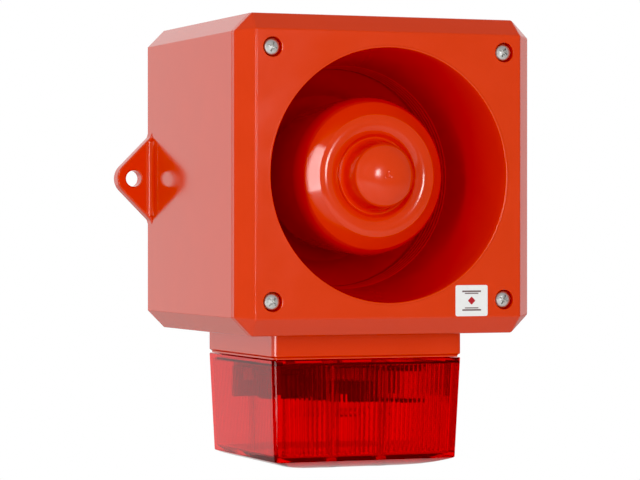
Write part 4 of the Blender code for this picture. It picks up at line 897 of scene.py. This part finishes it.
def chip(x, z, long, wide, tall, finish_index, upright=False):
    """A surface-mounted part with tinned ends, lying on the board."""
    half = (wide / 2, long / 2) if upright else (long / 2, wide / 2)
    end = (half[0], long * 0.11) if upright else (long * 0.11, half[1])
    shift = (0, long * 0.39) if upright else (long * 0.39, 0)
    body = rect((x, z), (half[0] * 0.98, half[1] * 0.96), 0.05)
    parts = [tinted(slab(body, D(BOARD_FRONT - tall), D(BOARD_FRONT), "y", edge=0.06), finish_index)]
    for side in (-1, 1):
        centre = (x + side * shift[0], z + side * shift[1])
        cap = slab(rect(centre, end, 0.08), D(BOARD_FRONT - tall - 0.04), D(BOARD_FRONT), "y", edge=0.08)
        parts.append(tinted(cap, 0))
    return parts


def axial(x, z, length, radius, finish_index):
    """A part with a round body and a bent wire lead at each end."""
    high = D(BOARD_FRONT - radius - 0.3)
    body = [(0, 0), (radius * 0.8, 0), (radius, radius * 0.4), (radius, length * 0.22),
            (radius * 0.86, length * 0.3), (radius * 0.86, length * 0.7), (radius, length * 0.78),
            (radius, length - radius * 0.4), (radius * 0.8, length), (0, length)]
    parts = [tinted(lathe(body, (x - length / 2, high, z), RIGHT, 20, 0.2), finish_index)]
    for side in (-1, 1):
        near = x + side * length * 0.48
        far = x + side * (length / 2 + 2.2)
        parts.append(tinted(tube([(near, high, z), (far - side * 0.4, high, z), (far, high + 0.6, z),
                                  (far, D(BOARD_FRONT + 0.1), z)], 0.28, 8, 3), 0))
    return parts


def make_small_parts():
    """Resistors, capacitors, a diode bridge, a coil and two transistors on the main board."""
    parts = []
    for x, z in ((-34, 30), (-34, 34), (-34, 38), (8, 44), (14, 44), (20, 44), (26, 44), (-6, 22), (0, 22),
                 (6, 22), (-42, 4), (-42, 8), (30, 24), (30, 28)):
        parts += chip(x, z, 3.2, 1.6, 0.6, 1)
    for x, z in ((-12, 34), (-6, 34), (12, 30), (18, 30), (-26, -44), (-20, -44), (38, 44), (-34, 46)):
        parts += chip(x, z, 2.0, 1.3, 0.9, 2, upright=True)
    for z in (-12, -18):
        parts += axial(-34, z, 7, 1.25, 2)
    parts += axial(36, -14, 7, 1.4, 1)
    for x in (30, 40):
        parts.append(tinted(depth_block(x, 49.9, 2.4, 1.9, BOARD_FRONT - 9, BOARD_FRONT - 4, 0.4, 0.3), 1))
        for k in (-1, 0, 1):
            leg = depth_block(x + 1.3 * k, 49.75, 0.25, 0.25, BOARD_FRONT - 4.1, BOARD_FRONT + 0.1)
            parts.append(tinted(leg, 0))
    parts.append(tinted(depth_block(-18, -19, 4, 3, BOARD_FRONT - 2.6, BOARD_FRONT - 0.1, 0.3, 0.3), 1))
    for k in (-1, 1):
        for m in (-1, 1):
            pin = depth_block(-18 + 2.6 * k, -19 + 3.6 * m, 0.5, 0.6, BOARD_FRONT - 0.9, BOARD_FRONT, 0.1)
            parts.append(tinted(pin, 0))
    coil = [(3.2, 0), (6.4, 0), (6.4, 5), (3.2, 5)]
    parts.append(tinted(lathe(coil, (22, D(SEAT), 8), count=40, radius=1.4, steps=5), 3))
    piece("main_board_parts", joined(*parts), (TIN, CERAMIC, TAN, COPPER), "housing", "black_plastic")


def make_board_screws():
    for name in ("upper_left", "lower_right"):
        side_x, side_z = CORNERS[name]
        seat = board_corner(side_x, side_z, SEAT)
        make_screw(f"board_screw_{name}", (3.0, 2.0, 1.35, 8, 0.5), seat, FRONT, 20)


def make_transformer():
    x, z = -52, -34
    top = BOARD_FRONT - 24
    parts = [tinted(depth_block(x, z, 13, 11, top, top + 20, 0.4, 0.25), 0)]
    winding = block((x - 8.7, D(top + 6.2), z - 13.6), (x + 8.7, D(top + 18.5), z + 13.6), "x", 2.2, 0.3)
    parts.append(tinted(winding, 1))
    for side in (-1, 1):
        at = x + side * 8.7
        cheek = block((at - 0.45, D(top + 4.2), z - 14), (at + 0.45, D(SEAT), z + 14), "x", 0.8, 0.1)
        parts.append(tinted(cheek, 2))
    for side in (-1, 1):
        for k in (-1, 0, 1):
            parts.append(tinted(rod((x + 5 * k, D(SEAT - 5), z + side * 12.6), BACK, 5, 0.4, 10), 3))
    stand_in("transformer", "assembly", joined(*parts), (LAMINATION, TAPE, BLACK, TIN))


def make_capacitors():
    for index in (1, 2):
        node = f"reservoir_capacitor_{index}"
        middle = centre_of(node)
        start = (middle.x, D(SEAT), middle.z)
        sleeve = [(6.4, 22.0), (7.2, 22.0), (7.95, 21.3, 0.5), (8, 4.2, 0.3), (7.35, 3.3, 0.5),
                  (8, 2.4, 0.3), (8, 0.2), (0, 0.2), (0, 21.4), (6.4, 21.4)]
        body = [tinted(lathe(sleeve, start, count=56, radius=0.2), 0)]
        top = lathe([(0, 21.75), (6.6, 21.75), (6.6, 20.9), (0, 20.9)], start, count=56, radius=0.1)
        grooves = [moved(block((-4.6, -23, -0.2), (4.6, -21.5, 0.2), "y"), start, math.radians(turn), "Y")
                   for turn in (30, 90, 150)]
        body.append(tinted(cut(top, *grooves), 1))
        body.append(tinted(depth_block(middle.x - 7.805, middle.z, 0.205, 1.6, SEAT - 20, SEAT - 5), 2))
        stand_in(node, "can", joined(*body), (BLUE, ZINC, WHITE))


def make_terminals():
    pitch = 5.08
    for name in ("supply", "output"):
        node = f"terminal_block_{name}"
        middle = centre_of(node)
        x, z = middle.x, middle.z
        low = D(SEAT - 14)
        profile = [(x - 5.5, D(SEAT)), (x - 5.5, low + 1.5), (x - 4.5, low), (x + 2.6, low),
                   (x + 5.5, low + 5.2), (x + 5.5, D(SEAT))]
        body = slab([Vector(p) for p in rounded(profile, 0.4)], z - 13.2, z + 13.2, "z", edge=0.25)
        tools = []
        metal = []
        for way in range(5):
            at = z + (way - 2) * pitch
            y = D(BOARD_FRONT - 4.5)
            tools.append(block((x + 0.5, y - 1.8, at - 1.7), (x + 9, y + 1.8, at + 1.7), "x", 0.5))
            tools.append(rod((x - 1.2, low - 2, at), BACK, 6, 1.9, 28))
            if way:
                gap = at - pitch / 2
                tools.append(block((x - 8, low - 2, gap - 0.15), (x + 8, low + 1.0, gap + 0.15), "x"))
            head = rod((x - 1.2, low + 3.6, at), FRONT, 1.4, 1.7, 28, 0.25)
            slot = block((x - 3, low + 1.2, at - 0.25), (x + 1, low + 2.9, at + 0.25), "x")
            metal.append(tinted(cut(head, slot), 1))
            clamp = block((x - 1.4, y - 1.7, at - 1.6), (x + 3.4, y + 1.7, at + 1.6), "x", 0.3)
            way_in = block((x + 0.6, y - 1.2, at - 1.2), (x + 6, y + 1.2, at + 1.2), "x")
            metal.append(tinted(cut(clamp, way_in), 1))
        body = cut(body, *tools)
        stand_in(node, "body", joined(tinted(body, 0), *metal), (GREEN, TIN))


def make_tone_switch():
    middle = centre_of("tone_switch_body")
    x, z = middle.x, middle.z
    face = SEAT - 5.4
    body = depth_block(x, z, 5.68, 4.5, face, SEAT, 0.25, 0.2)
    levers = [centre_of(f"tone_lever_{way}") for way in (1, 2, 3, 4)]
    slots = [depth_block(at.x, z, 0.9, 1.7, face - 2, face + 2.6, 0.1) for at in levers]
    body = tinted(cut(body, *slots), 0)
    ticks = [tinted(depth_block(at.x, z + 2.95, 0.15, 0.65, face - 0.02, face + 0.05), 1) for at in levers]
    pins = [tinted(depth_block(at.x, z + side * 4.9, 0.25, 0.12, SEAT - 3.2, BOARD_FRONT), 2)
            for at in levers for side in (-1, 1)]
    case = joined(body, *ticks, *pins)
    piece("tone_switch_case", case, (SWITCH_RED, WHITE, TIN), "housing", "switch_red", "tone_switch_body")
    for way, at in enumerate(levers, 1):
        lever = joined(depth_block(at.x, at.z, 0.55, 0.6, face - 0.5, face + 2.3, 0.1, 0.1),
                       depth_block(at.x, at.z - 0.35, 0.55, 0.2, face - 0.9, face - 0.4, 0.1, 0.05))
        stand_in(f"tone_lever_{way}", "tab", lever, WHITE)


def make_trimmer():
    middle = centre_of("volume_trimmer_body")
    x, z = middle.x, middle.z
    face = SEAT - 6.5
    body = depth_block(x, z, 5, 5, face, SEAT, 0.4, 0.25)
    well = rod((x, D(face - 2), z), BACK, 5, 3.6, 40)
    dots = []
    for k in range(11):
        t = math.radians(-45 + 27 * k)
        dots.append(tinted(lathe([(0, 0.03), (0.22, 0.03), (0.22, -0.03), (0, -0.03)],
                                 (x + 4.25 * math.cos(t), D(face), z + 4.25 * math.sin(t)), count=10), 1))
    piece("volume_trimmer_case", joined(tinted(cut(body, well), 0), *dots), (BLUE, WHITE), "housing",
          "blue_plastic", "volume_trimmer_body")
    rotor = lathe([(0, 0.8), (2.7, 0.8), (3.1, 0.4), (3.1, -2.6), (0, -2.6)], (x, D(face), z), count=48,
                  radius=0.2)
    slots = [depth_block(x, z, 0.4, 2.1, face - 3, face + 0.2, 0.1),
             depth_block(x, z, 2.1, 0.3, face - 3, face - 0.3, 0.1)]
    piece("volume_trimmer_dial", cut(rotor, *slots), WHITE, "volume_rotor", "white_plastic",
          "volume_trimmer_rotor")


def make_controller():
    x, z = -18, 50
    face = BOARD_FRONT - 4.4
    body = cut(depth_block(x, z, 12, 4.3, face, face + 3.6, 0.2, 0.3),
               rod((x - 12, D(face - 1), z), BACK, 1.7, 1.3, 24),
               rod((x - 10, D(face - 1), z - 2.6), BACK, 1.2, 0.5, 16))
    parts = [tinted(body, 0)]
    # each leg leaves the body, turns down beside it, and narrows into the board
    leg = ((0.6, 4.345, 0.145, 1.6, 1.9, 0.1), (0.6, 4.44, 0.06, 1.6, 3.3, 0),
           (0.25, 4.44, 0.06, 3.2, 4.4, 0))
    for k in range(9):
        at = x + 2.54 * (k - 4)
        for side in (-1, 1):
            for half, out, half_out, near, far, corner in leg:
                bend = depth_block(at, z + side * out, half, half_out, face + near, face + far, corner)
                parts.append(tinted(bend, 1))
    stand_in("controller_chip", "package", joined(*parts), (BLACK, TIN))


def make_header():
    header = cut(depth_block(0, -50, 5, 3.2, 131.5, SEAT, 0.3, 0.2),
                 depth_block(0, -50, 3.9, 2.1, 129, 134.7, 0.2))
    stand_in("driver_header", "shell", header, WHITE)


# ---------------------------------------------------------------- beacon

BEACON_Y = D(81)
PILLAR = (14.3, 30)                 # the lens screws, from the beacon's middle
BOARD_UNDER = -102.6


def beacon(x, y, z):
    return (x, BEACON_Y + y, z)


def pillar(side_x, side_y, z):
    return beacon(side_x * PILLAR[0], side_y * PILLAR[1], z)


def beacon_ring(half_x, half_y, z, radius):
    """The beacon's outline at a height; each corner has a narrow flat near the front or rear face."""
    points = []
    for k, (side_x, side_y) in enumerate(((1, 1), (-1, 1), (-1, -1), (1, -1))):
        for turn in (0, 27, 45, 90) if k % 2 else (0, 45, 63, 90):
            angle = math.radians(90 * k + turn)
            points.append((side_x * (half_x - radius) + radius * math.cos(angle),
                           BEACON_Y + side_y * (half_y - radius) + radius * math.sin(angle), z))
    return points


def beacon_slab(half_x, half_y, low, high, radius=3.0, edge=0.0):
    return slab(rect((0, BEACON_Y), (half_x, half_y), radius, 6), low, high, "z", edge)


def make_collar():
    rings = [beacon_ring(53.7, 51.7, -83.3, 2.8), beacon_ring(54, 52, -83.6, 3),
             beacon_ring(54, 52, -94.4, 3), beacon_ring(53.9, 51.9, -94.6, 2.9),
             beacon_ring(52.8, 50.8, -95.5, 2.5), beacon_ring(52.7, 50.7, -96.4, 2.4)]
    collar = loft(rings)
    cuts = [beacon_slab(49, 48, -99, -92.4), beacon_slab(46.2, 45.2, -94, -86.3),
            cut(beacon_slab(46, 45, -84.6, -80), beacon_slab(43, 42, -88, -78))]
    cuts.append(rod(beacon(0, 0, -80), DOWN, 9, 7, 32))
    posts = []
    holes = []
    for side_x, side_y in CORNERS.values():
        posts.append(rod(pillar(side_x, side_y, -84.8), DOWN, 14.6, 4.5, 32, 0.3, 4.2))
        holes.append(rod(pillar(side_x, side_y, -88), DOWN, 14, 2.0, 20))
    for side in (-1, 1):
        posts.append(rod(beacon(side * 38, 0, -84.8), DOWN, 9, 4, 32, 0.3))
        posts.append(rod(beacon(side * 26, 0, -84.8), DOWN, 15.9, 3, 24))
        posts.append(rod(beacon(side * 26, 0, -99), DOWN, 5.4, 1.2, 20, 0.3))
        holes.append(rod(beacon(side * 38, 0, -81), DOWN, 11.7, 2.0, 20))
    collar = cut(fused(cut(collar, *cuts), *posts), *holes)
    stand_in("beacon_collar", "shell", collar, RED, sharp=15)
    top = cut(beacon_slab(45.7, 44.7, -84.3, -83.3, edge=0.3), beacon_slab(43.3, 42.3, -86, -82))
    stand_in("collar_gasket", "seal", top, RUBBER)
    low = cut(beacon_slab(48.7, 47.7, -94.2, -92.7, edge=0.3), beacon_slab(46.5, 45.5, -96, -91))
    stand_in("lens_gasket", "seal", low, RUBBER)
    for name, side in (("left", -1), ("right", 1)):
        make_screw(f"collar_screw_{name}", (3.6, 2.4, 1.6, 12, 0.6), beacon(side * 38, 0, -79.2), UP,
                   10 * side)


def fluted(half_x, half_y, z, depth, number=37, samples=6):
    """A ring whose sides bulge inwards in a row of half-round flutes; its corners are plain."""
    points = []
    for width, other, turn in ((half_x, half_y, 0), (half_y, half_x, 90), (half_x, half_y, 180),
                               (half_y, half_x, 270)):
        run = width - 4
        pitch = 2 * run / number
        c = round(math.cos(math.radians(turn)))
        s = round(math.sin(math.radians(turn)))
        side = [(-width + 1.2, -other), (-run - 0.4, -other)]
        for k in range(number):
            for m in range(samples + 1 if k == number - 1 else samples):
                u = -run + pitch * (k + m / samples)
                side.append((u, -other + depth * abs(math.sin(math.pi * m / samples))))
        side += [(run + 0.4, -other), (width - 1.2, -other)]
        points += [(x * c - y * s, BEACON_Y + x * s + y * c, z) for x, y in side]
    return points


def make_lens():
    """The red lens: drawn-in sides, a shallow domed end, flutes inside, and four screw pillars."""
    rings = [beacon_ring(53.6, 51.6, -96.6, 2.6), beacon_ring(54, 52, -97, 3)]
    for k in range(1, 6):
        share = k / 5
        rings.append(beacon_ring(54 - 2.2 * share, 52 - 2.2 * share, -97 - 52.7 * share, 3))
    rings += [beacon_ring(51.6, 49.6, -150.25, 2.8), beacon_ring(51.0, 49.0, -150.6, 2.5)]
    for share, drop in ((0.94, 0.2), (0.86, 0.42), (0.76, 0.62), (0.64, 0.78), (0.5, 0.9), (0.34, 0.97),
                        (0.17, 1.0)):
        rings.append(beacon_ring(51 * share, 49 * share, -150.6 - 5.7 * drop, 2.5 + 8 * (1 - share)))
    outer = loft(rings)
    tongue = beacon_slab(48.7, 47.7, -98, -94.5, 2.2, 0.3)
    throat = [fluted(46.6, 45.6, -90, 0.0), fluted(46.6, 45.6, -98.6, 0.0), fluted(50.4, 48.4, -99.8, 0.0),
              fluted(50.4, 48.4, -100.4, 0.55), fluted(48.8, 46.8, -146.0, 0.55),
              fluted(48.7, 46.7, -147.2, 0.0), fluted(47.8, 45.8, -148.1, 0.0)]
    for share, drop in ((0.9, 0.25), (0.78, 0.5), (0.62, 0.74), (0.42, 0.92), (0.2, 1.0)):
        throat.append([(x * share, BEACON_Y + (y - BEACON_Y) * share, -148.1 - 5.8 * drop)
                       for x, y, _ in fluted(47.8, 45.8, 0, 0.0)])
    hollow = loft(throat)
    pillars = []
    holes = []
    for side_x, side_y in CORNERS.values():
        pillars.append(rod(pillar(side_x, side_y, -99.8), DOWN, 55, 3.3, 32, 0.3, 3.7))
        pillars.append(rod(pillar(side_x, side_y, -149.0), DOWN, 4.6, 5.8, 40, 0.3))
        holes.append(rod(pillar(side_x, side_y, -95), DOWN, 68, 2.2, 24))
        holes.append(rod(pillar(side_x, side_y, -152.4), DOWN, 12, 4.1, 40))
    lens = cut(fused(outer, tongue), hollow)
    lens = cut(fused(lens, *pillars), *holes)
    stand_in("beacon_lens", "shell", lens, LENS_RED, sharp=22)
    turns = {"upper_left": 12, "upper_right": 50, "lower_left": 71, "lower_right": 33}
    for name, (side_x, side_y) in CORNERS.items():
        seat = pillar(side_x, side_y, -152.7)
        make_screw(f"lens_screw_{name}", (3.6, 2.0, 1.6, 62, 0.7), seat, DOWN, turns[name])


def make_strobe():
    board = cut(beacon_slab(42, 25.5, BOARD_UNDER, -101, 1.0, 0.1),
                *[rod(beacon(side * 26, 0, -99), DOWN, 6, 1.6, 20) for side in (-1, 1)])
    stand_in("strobe_board", "laminate", board, BOARD)
    hang = BOARD_UNDER - 0.3
    can = [(0, 0), (8.6, 0, 0.4), (9, 0.6), (9, 1.6, 0.3), (8.5, 2.3, 0.4), (9, 3.0, 0.3), (9, 14.7, 0.7),
           (8.2, 15.5, 0.5), (7.4, 15.5), (7.2, 15.2), (0, 15.2)]
    can = lathe(can, beacon(-33, -15, hang), DOWN, 56, 0.2)
    grooves = [moved(block((-5, -0.25, -1), (5, 0.25, 0.6), "z"), beacon(-33, -15, hang - 15.2),
                     math.radians(turn), "Z") for turn in (20, 110)]
    stand_in("flash_capacitor", "can", cut(can, *grooves), BLACK)
    low = beacon(26, -24, hang - 19)
    high = beacon(40, -8, hang)
    winding = block((low[0] + 0.9, low[1] + 0.9, low[2] + 2.2), (high[0] - 0.9, high[1] - 0.9, high[2] - 2.0),
                    "z", 3.5, 0.2)
    coil = [tinted(winding, 1),
            tinted(block(low, (high[0], high[1], low[2] + 2.2), "z", 1.0, 0.3), 0),
            tinted(block((low[0], low[1], high[2] - 2.0), high, "z", 1.0, 0.3), 0)]
    stand_in("trigger_transformer", "bobbin", joined(*coil), (BLACK, TAPE))
    make_xenon_tube(hang)
    parts = []
    rows = ((-19, -20, 9, 9, 17, 0), (6, -17, 5, 4, 7, 1), (-18, 14, 10, 4, 5, 0), (4, 17, 12, 6, 8, 1),
            (20, 14, 6, 6, 5, 0), (33, 6, 5, 9, 6, 1), (-36, 10, 6, 8, 7, 1))
    for x, y, long, wide, tall, index in rows:
        parts.append(tinted(block(beacon(x - long / 2, y - wide / 2, BOARD_UNDER - tall),
                                  beacon(x + long / 2, y + wide / 2, BOARD_UNDER), "z", 0.6, 0.4), index))
    for x, y in ((-26, 20), (14, 21), (26, 20)):
        can = [(0, 0), (2.4, 0), (2.5, 1.4), (2.5, 7), (2.1, 7.4), (0, 7.4)]
        parts.append(tinted(lathe(can, beacon(x, y, BOARD_UNDER), DOWN, 24, 0.2), 0))
    for x in (2, 14):
        choke = block(beacon(x - 5.2, -24.5, -121), beacon(x + 5.2, -18.5, -109.5), "z", 1.0, 0.4)
        parts.append(tinted(choke, 0))
        for leg in (-3, 3):
            parts.append(tinted(rod(beacon(x + leg, -21.5, BOARD_UNDER), DOWN, 7.5, 0.5, 10), 2))
    parts.append(tinted(block(beacon(31.5, -24.6, -118.5), beacon(35, -24.1, -115), "y"), 3))
    piece("strobe_board_parts", joined(*parts), (BLACK, TAN, TIN, WHITE), "housing", "black_plastic")
    # A wall behind the strobe parts, where a reflector would stand. Its dark grey is painted shade that
    # darkens the band seen through the top of the lens.
    shade_skirt = block(beacon(-43.2, 24.7, -119.5), beacon(43.2, 25.8, BOARD_UNDER - 0.05), "z", 0, 0.2)
    piece("strobe_board_shade_skirt", shade_skirt, SHADE_GREY, "housing", "black_plastic")


def make_xenon_tube(hang):
    """The U-shaped flash tube, with a metal cap and a stub of lead at each end."""
    low = hang - 25
    y = BEACON_Y
    leg = [(11, hang - 2), (11, hang - 8), (11, hang - 16), (8, low + 1.2)]
    points = [(-x, y, z) for x, z in leg] + [(0, y, low)] + [(x, y, z) for x, z in reversed(leg)]
    stand_in("xenon_tube", "glass", tube(points, 2.45, 24), GLASS)
    metal = []
    for side in (-1, 1):
        metal.append(rod((side * 11, y, hang), DOWN, 4.5, 2.5, 28, 0.3))
        metal.append(rod((side * 11, y, hang - 4), DOWN, 5, 0.7, 14, 0.3))
    piece("xenon_tube_electrodes", joined(*metal), TIN, "housing", "stainless_steel")


# ---------------------------------------------------------------- stage

def stage_surface(name, rows, finish):
    bm = bmesh.new()
    made_rows = [[bm.verts.new(point) for point in row] for row in rows]
    for a, b in zip(made_rows, made_rows[1:]):
        for i in range(len(a) - 1):
            bm.faces.new((a[i], a[i + 1], b[i + 1], b[i]))
    mesh = bpy.data.meshes.new(name)
    bm.to_mesh(mesh)
    bm.free()
    mesh.shade_smooth()
    mesh.materials.append(finish)
    made = bpy.data.objects.new(name, mesh)
    bpy.context.scene.collection.objects.link(made)


def area_light(name, place, target, size, power):
    lamp = bpy.data.lights.new(name, "AREA")
    lamp.shape = "RECTANGLE"
    lamp.size, lamp.size_y = size
    lamp.energy = power
    made = bpy.data.objects.new(name, lamp)
    bpy.context.scene.collection.objects.link(made)
    made.location = place
    made.rotation_euler = (Vector(target) - Vector(place)).to_track_quat("-Z", "Y").to_euler()
    return made


def glowing(name, strength):
    made = bpy.data.materials.new(name)
    made.use_nodes = True
    nodes = made.node_tree.nodes
    nodes.clear()
    output = nodes.new("ShaderNodeOutputMaterial")
    glow = nodes.new("ShaderNodeEmission")
    glow.inputs["Strength"].default_value = strength
    made.node_tree.links.new(glow.outputs["Emission"], output.inputs["Surface"])
    return made


def make_stage():
    floor_z = -0.42
    back = 2.0
    floor = material("floor", (0.82, 0.82, 0.81), 0.6, grain=60, bump=0.05, vary=0.01)
    stage_surface("floor", [[(x, y, floor_z) for x in (-5, 5)] for y in (-5, back)], floor)
    stage_surface("backdrop", [[(x, back, z) for x in (-5, 5)] for z in (floor_z, 4.5)],
                  glowing("backdrop", 1.0))
    middle = (0, -0.1, 0)
    area_light("left_strip", (-1.28, -1.14, 0.0), middle, (0.18, 2.0), 9)
    area_light("key_softbox", (0.36, -2.25, 0.15), middle, (0.26, 0.26), 3)
    fill = area_light("front_left_softbox", (-0.575, -2.41, 0.33), middle, (1.2, 1.2), 14)
    fill.visible_glossy = False
    world = bpy.data.worlds.new("studio")
    bpy.context.scene.world = world
    world.use_nodes = True
    background = world.node_tree.nodes["Background"]
    background.inputs["Color"].default_value = (1, 1, 1, 1)
    background.inputs["Strength"].default_value = 0.36


def make_camera():
    scene = bpy.context.scene
    scene.view_settings.view_transform = "Standard"
    scene.view_settings.use_curve_mapping = True
    scene.view_settings.curve_mapping.black_level = (0.02, 0.02, 0.02)
    lens = bpy.data.cameras.new("camera")
    camera = bpy.data.objects.new("camera", lens)
    scene.collection.objects.link(camera)
    lens.sensor_width = 36
    lens.lens = 154.7
    lens.clip_end = 20
    camera.location = (-0.5570, -1.4651, -0.0269)
    camera.rotation_euler = (math.radians(90 - 0.27), 0, math.radians(-21.516))
    scene.camera = camera


for make in (make_rear_housing, make_inserts_and_gasket, make_entries, make_front_cover, make_cover_screws,
             make_label, make_bell, make_cap, make_throat, make_driver, make_board, make_board_screws,
             make_transformer, make_capacitors, make_terminals, make_tone_switch, make_trimmer,
             make_controller, make_header, make_collar, make_lens, make_strobe, make_stage, make_camera):
    make()
